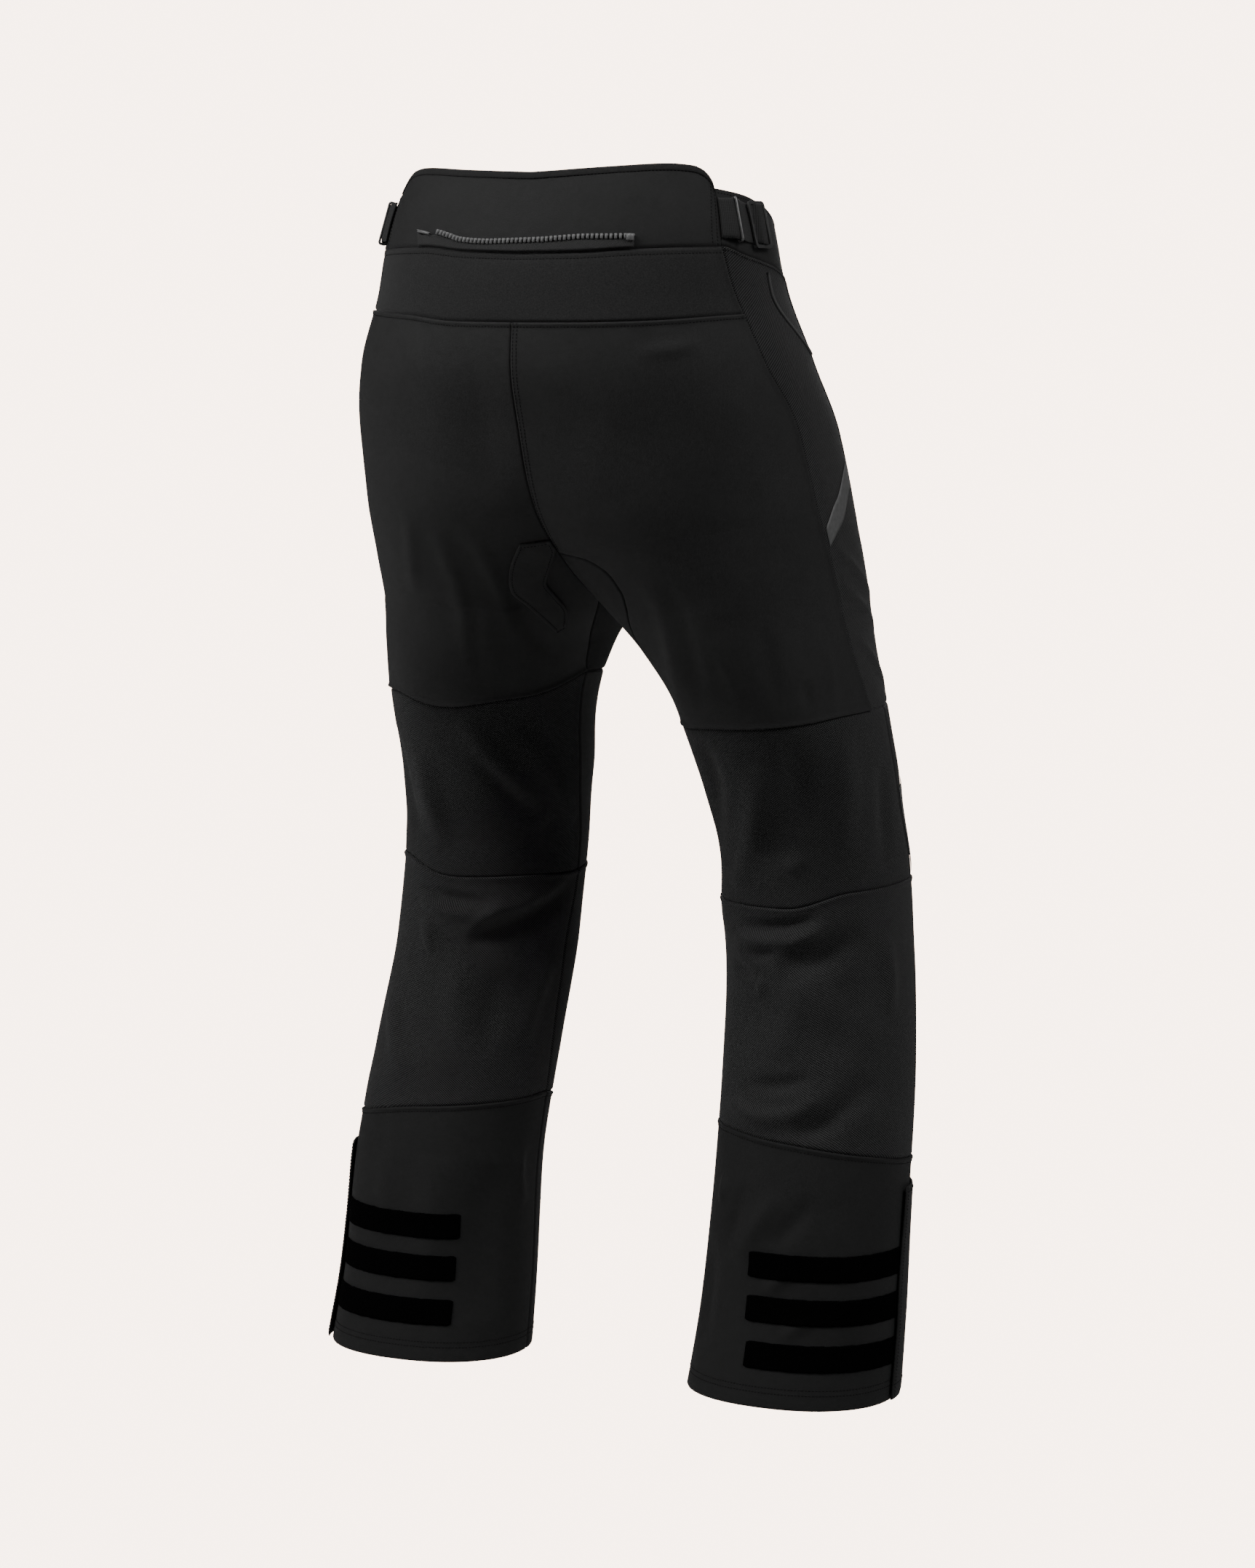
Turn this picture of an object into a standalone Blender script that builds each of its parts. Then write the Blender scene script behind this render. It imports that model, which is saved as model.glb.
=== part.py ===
"""Motorcycle trousers held in their worn shape, seen best from behind: smooth shell panels, knitted mesh
panels, a raised back waistband with a jacket zip, side adjusters and cuffs with closing strips.
Units are millimetres here and metres in the scene, +Z is up, the front faces -Y and the wearer's left is +X.
The origin is the middle of the waist opening, level with the waistband's lower seam."""

import math

import bpy
import numpy as np
from mathutils.geometry import tessellate_polygon

# Driving dimensions, in millimetres
WALL = 1.8
BAND_WALL = 2.4
SEAM_GAP = 0.4
LIFT = 0.4
HEM_Z = -990.0
CROTCH_Z = -312.0
KNEE_GIRTH = 560.0
BACK_BAND_EDGE = 0.645
WEBBING_WALL = 1.4
GLIDE_SIZE = (27.0, 40.0)
GLIDE_REACH = 50.0
RING_REACH = 17.5
GLIDE_WALL = 1.8
GLIDE_FRAME = 3.0
RING_WIRE = 2.2
RING_HEIGHT = 38.5
BUTTON_RADIUS = 8.5
HALF_BACK_COLUMNS = 10
SIDE_COLUMNS = 5
FRONT_COLUMNS = 7
INNER_COLUMNS = 8
YOKE_ROWS = 3
CENTRE_ROWS = 9
RISE_ROWS = 8
STRIP_HEIGHT = 22.0
FLAP_RISE = 1.7

# The form under the cloth, wearer's left half. A negative inner value means that both halves are one there.
# columns: z, inner x, outer x, front y, back y, roundness
SECTIONS = (
    (70, -148, 148, -86, 84, 2.3),
    (30, -165, 165, -104, 104, 2.3),
    (0, -172, 172, -112, 115, 2.3),
    (-40, -178, 178, -126, 125, 2.3),
    (-100, -198, 198, -146, 132, 2.3),
    (-160, -165, 211, -176, 117, 2.3),
    (-220, -98, 214, -200, 98, 2.25),
    (-270, -37, 216, -212, 68, 2.2),
    (-312, 0, 217, -216, 44, 2.2),
    (-350, 33, 220, -216, 28, 2.2),
    (-400, 56, 227, -216, 0, 2.2),
    (-480, 70, 233, -222, -40, 2.2),
    (-540, 77, 240, -224, -61, 2.2),
    (-620, 83, 248, -218, -59, 2.2),
    (-720, 90, 259, -193, -38, 2.2),
    (-820, 94, 266, -163, -12, 2.2),
    (-920, 90, 269, -143, 5, 2.2),
    (-990, 86, 272, -124, 26, 2.2),
)

# Upright seams. A turn is 0 at the front or inner side, 0.5 at the outer side and 1 back where it began.
# columns: z, turn on the left leg, turn on the right leg
SIDE_SEAM = (
    (-6, 0.645, 0.645),
    (-30, 0.628, 0.625),
    (-62, 0.617, 0.614),
    (-100, 0.603, 0.600),
    (-140, 0.584, 0.574),
    (-190, 0.574, 0.560),
    (-244, 0.572, 0.546),
    (-298, 0.576, 0.531),
    (-350, 0.586, 0.517),
    (-420, 0.600, 0.503),
)
POCKET_SEAM = (
    (0, 0.405, 0.400),
    (-100, 0.400, 0.390),
    (-200, 0.395, 0.375),
    (-300, 0.400, 0.355),
    (-420, 0.410, 0.340),
)
# Seams of the inner thigh, as knots from the crotch to the knee. The first one lies on the middle plane.
# columns: angle in degrees, z
BACK_THIGH_LEFT = ((338, -303), (341, -309), (345, -322), (350, -336), (355, -351), (358, -366), (361, -378))
BACK_THIGH_RIGHT = ((308, -262), (293, -266), (287, -279), (288, -293), (293, -308), (304, -326), (318, -350), (322.5, -404))
FRONT_THIGH_LEFT = ((38, -284), (49, -300), (54, -330), (53, -365), (52, -383))
FRONT_THIGH_RIGHT = ((38, -284), (42, -300), (34, -330), (22, -365), (14, -399))
INSEAM = (
    (-370, 0.996, 0.900),
    (-480, 1.004, 0.918),
    (-560, 1.010, 0.930),
    (-640, 0.992, 0.928),
    (-720, 1.004, 0.935),
    (-800, 1.018, 0.945),
    (-990, 1.016, 0.945),
)
OUTSEAM = (
    (-380, 0.560, 0.462),
    (-480, 0.558, 0.460),
    (-560, 0.545, 0.452),
    (-660, 0.550, 0.462),
    (-800, 0.535, 0.460),
    (-990, 0.520, 0.450),
)
FLAP_EDGE = (
    (-800, 0.586, 0.498),
    (-865, 0.576, 0.506),
    (-913, 0.572, 0.510),
    (-990, 0.572, 0.510),
)
# columns: z of a strip's upper edge, turn of its inner end on the left leg, on the right leg
STRIPS = (
    (-862, 0.841, 0.786),
    (-899, 0.836, 0.784),
    (-937, 0.836, 0.777),
)
FLAP_ROOT = (
    (-800, 0.435, 0.355),
    (-990, 0.435, 0.355),
)

# Level seams and edges.
# columns: turn, z on the left half, z on the right half
BACK_BAND_TOP = (
    (0.645, 43, 43),
    (0.652, 51, 51),
    (0.665, 56, 56),
    (0.690, 59.5, 59.5),
    (0.750, 61, 61),
    (0.880, 58, 58.5),
    (1.000, 55, 55),
)
FRONT_BAND_TOP = (
    (0.000, 2, 2),
    (0.150, 4, 4),
    (0.300, 9, 9),
    (0.400, 18, 18),
    (0.468, 27, 27),
    (0.542, 36, 36),
    (0.645, 42, 42),
)
BAND_SEAM = (
    (0.000, -45, -45),
    (0.150, -43, -43),
    (0.300, -38, -38),
    (0.400, -31, -31),
    (0.510, -19, -19),
    (0.580, -13, -13),
    (0.645, -6, -6),
    (0.830, -5, -8),
    (0.920, -9, -10.5),
    (1.000, -11, -11),
)
YOKE_SEAM = (
    (0.550, -57, -60),
    (0.650, -58, -62),
    (0.826, -62, -67),
    (0.920, -67, -68),
    (1.000, -68, -68),
)
KNEE_TOP = (
    (0.000, -377, -400),
    (0.100, -381, -398),
    (0.300, -390, -396),
    (0.450, -394, -399),
    (0.560, -393, -401),
    (0.650, -392, -407),
    (0.760, -404, -412),
    (0.850, -397, -413),
    (0.930, -390, -412),
    (1.000, -377, -400),
)
CALF_TOP = (
    (0.000, -564, -565),
    (0.100, -560, -560),
    (0.300, -552, -552),
    (0.450, -549, -553),
    (0.630, -549, -557),
    (0.750, -564, -572),
    (0.880, -562, -571),
    (1.000, -564, -565),
)
CUFF_TOP = (
    (0.000, -763, -764),
    (0.200, -778, -778),
    (0.420, -790, -792),
    (0.600, -782, -780),
    (0.760, -769, -769),
    (0.870, -765, -764),
    (1.000, -763, -764),
)

# Broad folds: the middle of each as turn and z, its slant from level, half length, half width and height.
# columns: side, turn, z, slant in degrees, half length, half width, height
FOLDS = (
    (1, 0.80, -596, 12, 70, 17, 5.0),
    (1, 0.86, -640, -18, 60, 18, 3.5),
    (1, 0.72, -735, 20, 70, 20, 3.0),
    (1, 0.84, -345, -55, 70, 20, 3.5),
    (1, 0.70, -540, -8, 60, 17, 3.0),
    (1, 0.25, -450, 6, 90, 26, 4.0),
    (-1, 0.80, -610, 28, 80, 18, 5.0),
    (-1, 0.70, -655, 24, 70, 18, 4.0),
    (-1, 0.66, -740, 14, 80, 20, 3.5),
    (-1, 0.80, -370, -50, 80, 20, 4.0),
    (-1, 0.72, -535, -10, 60, 17, 3.0),
    (-1, 0.25, -450, -6, 90, 26, 4.0),
)

# Cloths and hard materials.
# columns: red, green, blue, roughness, metallic
FINISHES = {
    "shell": (0.022, 0.022, 0.024, 0.78, 0.0),
    "stretch": (0.019, 0.019, 0.021, 0.85, 0.0),
    "mesh": (0.026, 0.026, 0.028, 0.90, 0.0),
    "loop": (0.006, 0.006, 0.007, 0.98, 0.0),
    "reflective": (0.23, 0.23, 0.24, 0.45, 0.0),
    "binding": (0.012, 0.012, 0.013, 0.80, 0.0),
    "patch": (0.045, 0.045, 0.048, 0.70, 0.0),
    "zip": (0.09, 0.09, 0.095, 0.45, 0.0),
    "webbing": (0.016, 0.016, 0.018, 0.80, 0.0),
    "plastic": (0.03, 0.03, 0.032, 0.35, 0.0),
    "metal": (0.09, 0.09, 0.095, 0.35, 0.9),
}


def smooth(table, column, at):
    """Reads a table by a curve through its rows that never overshoots them."""
    rows = np.array(table, float)
    rows = rows[np.argsort(rows[:, 0])]
    xs, ys = rows[:, 0], rows[:, column]
    step = np.diff(xs)
    rise = np.diff(ys) / step
    slope = np.concatenate([rise[:1], np.zeros(len(xs) - 2), rise[-1:]])
    for i in range(1, len(xs) - 1):
        if rise[i - 1] * rise[i] > 0:
            before = 2 * step[i] + step[i - 1]
            after = step[i] + 2 * step[i - 1]
            slope[i] = (before + after) / (before / rise[i - 1] + after / rise[i])
    at = np.clip(np.asarray(at, float), xs[0], xs[-1])
    k = np.clip(np.searchsorted(xs, at) - 1, 0, len(xs) - 2)
    s = (at - xs[k]) / step[k]
    start = (1 + 2 * s) * (1 - s) ** 2 * ys[k] + s * (1 - s) ** 2 * step[k] * slope[k]
    end = s * s * (3 - 2 * s) * ys[k + 1] + s * s * (s - 1) * step[k] * slope[k + 1]
    return start + end


def level(table, side, turn):
    """Height of a level seam at a turn, on the leg of that side."""
    turn = np.asarray(turn, float)
    around = np.where(turn > 1, turn - 1, turn)
    return smooth(table, 1 if side > 0 else 2, around)


def upright(table, side, z):
    """Turn of an upright seam at a height."""
    return smooth(table, 1 if side > 0 else 2, z)


def meet(across, down, side, guess):
    """Where a level seam and an upright seam cross, as turn and z."""
    z = guess
    for _ in range(40):
        turn = float(upright(down, side, z))
        z = float(level(across, side, turn))
    return turn, z


def ring(angle, z):
    """Point of the left half's form, at an angle that starts from the inner side and passes the front."""
    inner, outer, front, back, power = (smooth(SECTIONS, i, z) for i in range(1, 6))
    cos, sin = np.cos(angle), np.sin(angle)
    x = (outer + inner) / 2 - (outer - inner) / 2 * np.sign(cos) * np.abs(cos) ** (2 / power)
    y = (front + back) / 2 - (back - front) / 2 * np.sign(sin) * np.abs(sin) ** (2 / power)
    return np.stack([x, y, z + 0 * x], -1)


def angle_of(turn, z):
    """Angle for a turn. Above the crotch the half stops at the middle plane."""
    inner, outer, power = (smooth(SECTIONS, i, z) for i in (1, 2, 5))
    ratio = np.clip((outer + inner) / (outer - inner), -1, 1)
    cut = np.where(inner < 0, np.arccos(np.sign(ratio) * np.abs(ratio) ** (power / 2)), 0)
    return cut + (2 * np.pi - 2 * cut) * turn


def fold_height(side, turn, z):
    total = np.zeros(np.broadcast(turn, z).shape)
    for leg, middle, height_z, slant, length, width, height in FOLDS:
        if leg != side:
            continue
        around = ((turn - middle + 0.5) % 1 - 0.5) * KNEE_GIRTH
        up = z - height_z
        lean = math.radians(slant)
        along = around * math.cos(lean) + up * math.sin(lean)
        across = up * math.cos(lean) - around * math.sin(lean)
        total = total + height * np.exp(-((along / length) ** 2) - (across / width) ** 2)
    return total


def on_form(side, turn, z, lift=0.0):
    """Points of the cloth's outer face lifted by so many millimetres, and their outward normals.
    A turn over 1 on both halves at once runs on into the other half."""
    turn, z = np.broadcast_arrays(np.asarray(turn, float), np.asarray(z, float))
    if side == 0:
        over = turn > 1
        left, left_out = on_form(1, np.where(over, 1, turn), z, lift)
        right, right_out = on_form(-1, np.where(over, 2 - turn, 1), z, lift)
        pick = over[..., None]
        return np.where(pick, right, left), np.where(pick, right_out, left_out)
    angle = angle_of(turn, z)
    step = 2e-3
    around = ring(angle + step, z) - ring(angle - step, z)
    down = ring(angle, z - 0.5) - ring(angle, z + 0.5)
    out = np.cross(down, around)
    out /= np.linalg.norm(out, axis=-1, keepdims=True)
    point = ring(angle, z)
    mirror = np.array([side, 1, 1])
    height = fold_height(side, turn, z) + lift
    return (point + out * height[..., None]) * mirror, out * mirror


def across_line(table, side, first, last, count):
    """Points along a level seam from one turn to another."""
    turn = np.linspace(first, last, count + 1)
    return np.stack([turn, level(table, side, turn)], -1)


def down_line(table, side, top, bottom, count):
    """Points along an upright seam from one height to another."""
    z = np.linspace(top, bottom, count + 1)
    return np.stack([upright(table, side, z), z], -1)


def turn_at(angle, z):
    """Turn for an angle, the inverse of angle_of."""
    cut = angle_of(0.0, z)
    return (angle - cut) / (2 * np.pi - 2 * cut)


def blend(top, bottom, left, right):
    """Grid inside four edges that share their corners."""
    u = np.linspace(0, 1, len(top))[:, None, None]
    v = np.linspace(0, 1, len(left))[None, :, None]
    across = (1 - v) * top[:, None] + v * bottom[:, None]
    down = (1 - u) * left[None] + u * right[None]
    corners = (1 - u) * ((1 - v) * top[0] + v * bottom[0]) + u * ((1 - v) * top[-1] + v * bottom[-1])
    return across + down - corners


def between(top, bottom, left, right):
    """Grid of turns and heights inside four edges, spaced by angle so that it stays even near the crotch."""
    edges = [np.stack([angle_of(e[:, 0], e[:, 1]), e[:, 1]], -1) for e in (top, bottom, left, right)]
    grid = blend(*edges)
    turn = turn_at(grid[..., 0], grid[..., 1])
    turn = np.where(grid[..., 1] > CROTCH_Z, np.clip(turn, 0, 1), turn)
    return np.stack([turn, grid[..., 1]], -1)


def inset(points, out, sides, gap):
    """Moves the grid's edges in along the cloth, so that neighbours keep a gap."""
    along_u = np.gradient(points, axis=0)
    along_v = np.gradient(points, axis=1)
    moved = points.copy()
    for name in sides:
        edge, inward = {
            "left": ((0, slice(None)), (along_v, along_u, 1)),
            "right": ((-1, slice(None)), (along_v, along_u, -1)),
            "top": ((slice(None), 0), (along_u, along_v, 1)),
            "bottom": ((slice(None), -1), (along_u, along_v, -1)),
        }[name]
        run, cross, sign = inward
        tangent = run[edge] / np.linalg.norm(run[edge], axis=-1, keepdims=True)
        way = np.cross(out[edge], tangent)
        facing = np.sign((way * cross[edge] * sign).sum(-1, keepdims=True))
        moved[edge] += way * facing * gap
    return moved


def slab(outer, inner):
    """Closed wall between two matching grids, as vertices and faces."""
    nu, nv = outer.shape[:2]
    verts = np.concatenate([outer.reshape(-1, 3), inner.reshape(-1, 3)])
    index = np.arange(nu * nv).reshape(nu, nv)
    a, b, c, d = index[:-1, :-1], index[1:, :-1], index[1:, 1:], index[:-1, 1:]
    quads = np.stack([a, b, c, d], -1).reshape(-1, 4)
    backs = quads[:, [0, 3, 2, 1]] + nu * nv
    rim = np.concatenate([index[:, 0], index[-1, 1:], index[-2::-1, -1], index[0, -2:0:-1]])
    after = np.roll(rim, -1)
    sides = np.stack([after, rim, rim + nu * nv, after + nu * nv], -1)
    return verts, np.concatenate([quads, backs, sides])


def volume_of(verts, faces):
    total = 0.0
    for face in faces:
        for i in range(1, len(face) - 1):
            a, b, c = verts[face[0]], verts[face[i]], verts[face[i + 1]]
            total += float(np.dot(a, np.cross(b, c)))
    return total / 6


def add_object(name, verts, faces, finish, flat=False):
    """Turns the faces outward if need be, and adds the mesh in metres with its own material."""
    faces = [tuple(int(i) for i in face) for face in faces]
    if volume_of(verts, faces) < 0:
        faces = [face[::-1] for face in faces]
    mesh = bpy.data.meshes.new(name)
    mesh.from_pydata([tuple(v) for v in np.asarray(verts) * 0.001], [], faces)
    mesh.polygons.foreach_set("use_smooth", [not flat] * len(faces))
    mesh.update()
    body = bpy.data.objects.new(name, mesh)
    TROUSERS.objects.link(body)
    red, green, blue, rough, metallic = FINISHES[finish]
    material = bpy.data.materials.new(name)
    material.use_nodes = True
    shader = material.node_tree.nodes["Principled BSDF"]
    shader.inputs["Base Color"].default_value = (red, green, blue, 1)
    shader.inputs["Roughness"].default_value = rough
    shader.inputs["Metallic"].default_value = metallic
    material.diffuse_color = (red, green, blue, 1)
    mesh.materials.append(material)
    return body


def split(quads):
    """Quads as triangles, each along its first diagonal."""
    found = []
    for quad in quads:
        a, b, c, d = (int(i) for i in quad)
        found += [(a, b, c), (a, c, d)]
    return found


def panel(name, side, grid, finish, wall=WALL, sides=("left", "right", "top", "bottom")):
    """Cloth panel on the form, its wall inward."""
    points, out = on_form(side, grid[..., 0], grid[..., 1])
    outer = inset(points, out, sides, SEAM_GAP / 2)
    verts, faces = slab(outer, outer - out * wall)
    return add_object(name, verts, split(faces), finish)


def overlay(name, side, grid, finish, thick, lift=LIFT):
    """Piece that lies on a panel. Lift is one number or one per grid point."""
    below, _ = on_form(side, grid[..., 0], grid[..., 1], lift)
    above, _ = on_form(side, grid[..., 0], grid[..., 1], lift + thick)
    verts, faces = slab(above, below)
    return add_object(name, verts, split(faces), finish)


def rows_between(first, last, count):
    """Strip of grid points between two lines of equal length."""
    v = np.linspace(0, 1, count + 1)[None, :, None]
    return (1 - v) * first[:, None] + v * last[:, None]


def line_through(knots, count):
    """Evenly numbered points on a curve through knots of turn and z."""
    knots = np.array(knots, float)
    at = np.linspace(0, 1, len(knots))
    fine = np.linspace(0, 1, count + 1)
    return np.stack([smooth(np.stack([at, knots[:, k]], -1), 1, fine) for k in (0, 1)], -1)


def ribbon(side, line, width):
    """Strip of grid points of this width in millimetres around a line of turns and heights."""
    points, out = on_form(side, line[:, 0], line[:, 1])
    run = np.gradient(points, axis=0)
    per_turn = on_form(side, line[:, 0] + 1e-3, line[:, 1])[0] - points
    scale = np.linalg.norm(per_turn, axis=-1) / 1e-3
    steps = np.gradient(line, axis=0) * np.stack([scale, np.ones(len(line))], -1)
    across = np.stack([-steps[:, 1], steps[:, 0]], -1)
    across /= np.linalg.norm(run, axis=-1, keepdims=True)
    across[:, 0] /= scale
    return np.stack([line - across * width / 2, line + across * width / 2], 1)


def across_both(table, first, count):
    """Points along a level seam over both halves of the back, from one turn to its mirror."""
    left = across_line(table, 1, first[0], 1, count)
    right = across_line(table, -1, first[1], 1, count)[::-1][1:]
    return np.concatenate([left, right * (-1, 1) + (2, 0)])


def waist_panels():
    edge = (BACK_BAND_EDGE, BACK_BAND_EDGE)
    top = across_both(BACK_BAND_TOP, edge, HALF_BACK_COLUMNS)
    bottom = across_both(BAND_SEAM, edge, HALF_BACK_COLUMNS)
    panel("waistband_back", 0, rows_between(top, bottom, 4), "shell", BAND_WALL)
    fine = across_both(BACK_BAND_TOP, edge, 2 * HALF_BACK_COLUMNS)
    overlay("waist_binding", 0, rows_between(fine - (0, 0.6), fine - (0, 5.0), 1), "binding", 0.9)
    foot = [meet(YOKE_SEAM, SIDE_SEAM, side, -60)[0] for side in (1, -1)]
    bottom_of_yoke = across_both(YOKE_SEAM, foot, HALF_BACK_COLUMNS)
    panel("yoke_back", 0, rows_between(bottom, bottom_of_yoke, YOKE_ROWS), "stretch")
    for side, word in ((1, "left"), (-1, "right")):
        pocket = meet(BAND_SEAM, POCKET_SEAM, side, -30)[0]
        edges = []
        for table in (FRONT_BAND_TOP, BAND_SEAM):
            front = across_line(table, side, 0, pocket, FRONT_COLUMNS)
            back = across_line(table, side, pocket, BACK_BAND_EDGE, SIDE_COLUMNS)
            edges.append(np.concatenate([front, back[1:]]))
        panel(f"waistband_front_{word}", side, rows_between(edges[0], edges[1], 3), "shell", BAND_WALL)


def evenly(side, line, count):
    """Points the same distance apart along a finely drawn line of turns and heights."""
    points, _ = on_form(side, line[:, 0], line[:, 1])
    run = np.append(0, np.cumsum(np.linalg.norm(np.diff(points, axis=0), axis=-1)))
    at = np.linspace(0, run[-1], count + 1)
    return np.stack([np.interp(at, run, line[:, 0]), np.interp(at, run, line[:, 1])], -1)


def centre_line(side, turn, top, bottom, count):
    """Seam down the middle plane, at turn 0 in front or 1 behind."""
    z = np.linspace(top, bottom, 400)
    return evenly(side, np.stack([np.full(400, float(turn)), z], -1), count)


def thigh_line(side, knots, middle_turn):
    """Inner thigh seam from the middle plane to the knee seam."""
    foot_turn = knots[-1][0] / 360
    foot = (knots[-1][0], float(level(KNEE_TOP, side, foot_turn)))
    fine = line_through(knots[:-1] + (foot,), 400)
    turn = turn_at(np.radians(fine[:, 0]), fine[:, 1])
    turn[0] = middle_turn
    turn = np.where(fine[:, 1] > CROTCH_Z, np.clip(turn, 0, 1), turn)
    return evenly(side, np.stack([turn, fine[:, 1]], -1), RISE_ROWS)


def thigh_seams(side):
    back, front = (BACK_THIGH_LEFT, FRONT_THIGH_LEFT) if side > 0 else (BACK_THIGH_RIGHT, FRONT_THIGH_RIGHT)
    return thigh_line(side, back, 1.0), thigh_line(side, front, 0.0)


def upper_panels(side, word):
    band_pocket = meet(BAND_SEAM, POCKET_SEAM, side, -30)
    yoke_foot = meet(YOKE_SEAM, SIDE_SEAM, side, -60)
    side_foot = meet(KNEE_TOP, SIDE_SEAM, side, -400)
    pocket_foot = meet(KNEE_TOP, POCKET_SEAM, side, -400)
    outseam_top = meet(KNEE_TOP, OUTSEAM, side, -400)
    back_seam, front_seam = thigh_seams(side)
    back_foot, front_foot = back_seam[-1], front_seam[-1]

    # Seat: its inner edge is the centre seam, then the inner thigh seam
    centre = centre_line(side, 1, float(level(YOKE_SEAM, side, 1.0)), back_seam[0, 1], CENTRE_ROWS)
    right = np.concatenate([centre[:-1], back_seam])
    seat_z = np.linspace(yoke_foot[1], side_foot[1], len(right))
    left = np.stack([upright(SIDE_SEAM, side, seat_z), seat_z], -1)
    top = across_line(YOKE_SEAM, side, yoke_foot[0], 1, HALF_BACK_COLUMNS)
    bottom = across_line(KNEE_TOP, side, side_foot[0], back_foot[0], HALF_BACK_COLUMNS)
    panel(f"seat_{word}", side, between(top, bottom, left, right), "shell")

    # Side of knitted mesh: its back edge runs along the yoke and then the seat
    corner = (BACK_BAND_EDGE, float(level(BAND_SEAM, side, BACK_BAND_EDGE)))
    beside_yoke = np.linspace(corner, yoke_foot, YOKE_ROWS + 1)
    right = np.concatenate([beside_yoke, left[1:]])
    rows = len(right) - 1
    left = down_line(POCKET_SEAM, side, band_pocket[1], pocket_foot[1], rows)
    top = across_line(BAND_SEAM, side, band_pocket[0], BACK_BAND_EDGE, SIDE_COLUMNS)
    ahead = across_line(KNEE_TOP, side, pocket_foot[0], outseam_top[0], SIDE_COLUMNS - 1)
    bottom = np.concatenate([ahead, [side_foot]])
    panel(f"side_{word}", side, between(top, bottom, left, right), "mesh")

    # Front thigh, from the front of the waistband to the knee
    centre = centre_line(side, 0, float(level(BAND_SEAM, side, 0.0)), front_seam[0, 1], rows - RISE_ROWS)
    inner = np.concatenate([centre[:-1], front_seam])
    top = across_line(BAND_SEAM, side, 0, band_pocket[0], FRONT_COLUMNS)
    bottom = across_line(KNEE_TOP, side, front_foot[0], pocket_foot[0], FRONT_COLUMNS)
    front = between(top, bottom, inner, left)
    panel(f"front_thigh_{word}", side, front, "shell")
    if side > 0:
        overlay("fly_facing", side, front[:3, :8], "shell", 1.2)

    # Inner thigh, hung from the U of the crotch, in angles that run on past a full turn
    half = INNER_COLUMNS // 2
    behind = centre_line(side, 1, back_seam[0, 1], CROTCH_Z, half)[:, 1]
    before = centre_line(side, 0, CROTCH_Z, front_seam[0, 1], half)[:, 1]
    top = np.concatenate([
        np.stack([2 * np.pi - angle_of(0.0, behind), behind], -1),
        np.stack([2 * np.pi + angle_of(0.0, before), before], -1)[1:],
    ])
    foot = np.linspace(back_foot[0], 1 + front_foot[0], INNER_COLUMNS + 1)
    bottom = np.stack([2 * np.pi * foot, level(KNEE_TOP, side, foot)], -1)
    left = np.stack([angle_of(back_seam[:, 0], back_seam[:, 1]), back_seam[:, 1]], -1)
    right = np.stack([2 * np.pi + angle_of(front_seam[:, 0], front_seam[:, 1]), front_seam[:, 1]], -1)
    grid = blend(top, bottom, left, right)
    angle, z = grid[..., 0], grid[..., 1]
    in_front = np.arange(INNER_COLUMNS + 1)[:, None] > half
    behind = np.minimum(turn_at(angle, z), 1)
    before = np.maximum(turn_at(angle - 2 * np.pi, z), 0)
    turn = np.where(z > CROTCH_Z, np.where(in_front, before, behind), angle / (2 * np.pi))
    panel(f"inner_thigh_{word}", side, np.stack([turn, z], -1), "stretch")


def lower_panels(side, word):
    names = (("back_knee", "front_knee"), ("calf", "shin"), ("cuff_back", "cuff_front"))
    finishes = (("mesh", "shell"), ("mesh", "mesh"), ("shell", "shell"))
    hem = ((0, HEM_Z, HEM_Z), (1, HEM_Z, HEM_Z))
    levels = (KNEE_TOP, CALF_TOP, CUFF_TOP, hem)
    guesses = (-400, -560, -775, HEM_Z)
    side_foot = meet(KNEE_TOP, SIDE_SEAM, side, -400)[0]
    pocket_foot = meet(KNEE_TOP, POCKET_SEAM, side, -400)[0]
    back_seam, front_seam = thigh_seams(side)
    front_foot = front_seam[-1, 0]
    for k, (back, front) in enumerate(names):
        high, low = levels[k], levels[k + 1]
        a = meet(high, OUTSEAM, side, guesses[k])
        b = meet(high, INSEAM, side, guesses[k]) if k else back_seam[-1]
        c = meet(low, OUTSEAM, side, guesses[k + 1])
        d = meet(low, INSEAM, side, guesses[k + 1])
        outseam = down_line(OUTSEAM, side, a[1], c[1], 7)
        inseam = down_line(INSEAM, side, b[1], d[1], 7)
        inseam[0, 0] = b[0]
        back_turns = np.linspace(a[0], b[0], HALF_BACK_COLUMNS + 2)
        front_turns = np.linspace(b[0], 1 + a[0], INNER_COLUMNS // 2 + FRONT_COLUMNS + SIDE_COLUMNS)
        if k == 0:
            back_turns = np.append(a[0], np.linspace(side_foot, b[0], HALF_BACK_COLUMNS + 1))
            inner = np.linspace(b[0], 1 + front_foot, INNER_COLUMNS + 1)
            middle = np.linspace(1 + front_foot, 1 + pocket_foot, FRONT_COLUMNS + 1)
            outer = np.linspace(1 + pocket_foot, 1 + a[0], SIDE_COLUMNS)
            front_turns = np.concatenate([inner, middle[1:], outer[1:]])
        top = np.stack([back_turns, level(high, side, back_turns)], -1)
        bottom = across_line(low, side, c[0], d[0], len(back_turns) - 1)
        panel(f"{back}_{word}", side, between(top, bottom, outseam, inseam), finishes[k][0])
        top = np.stack([front_turns, level(high, side, front_turns)], -1)
        bottom = across_line(low, side, d[0], 1 + c[0], len(front_turns) - 1)
        grid = between(top, bottom, inseam, outseam + (1, 0))
        panel(f"{front}_{word}", side, grid, finishes[k][1])


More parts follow.
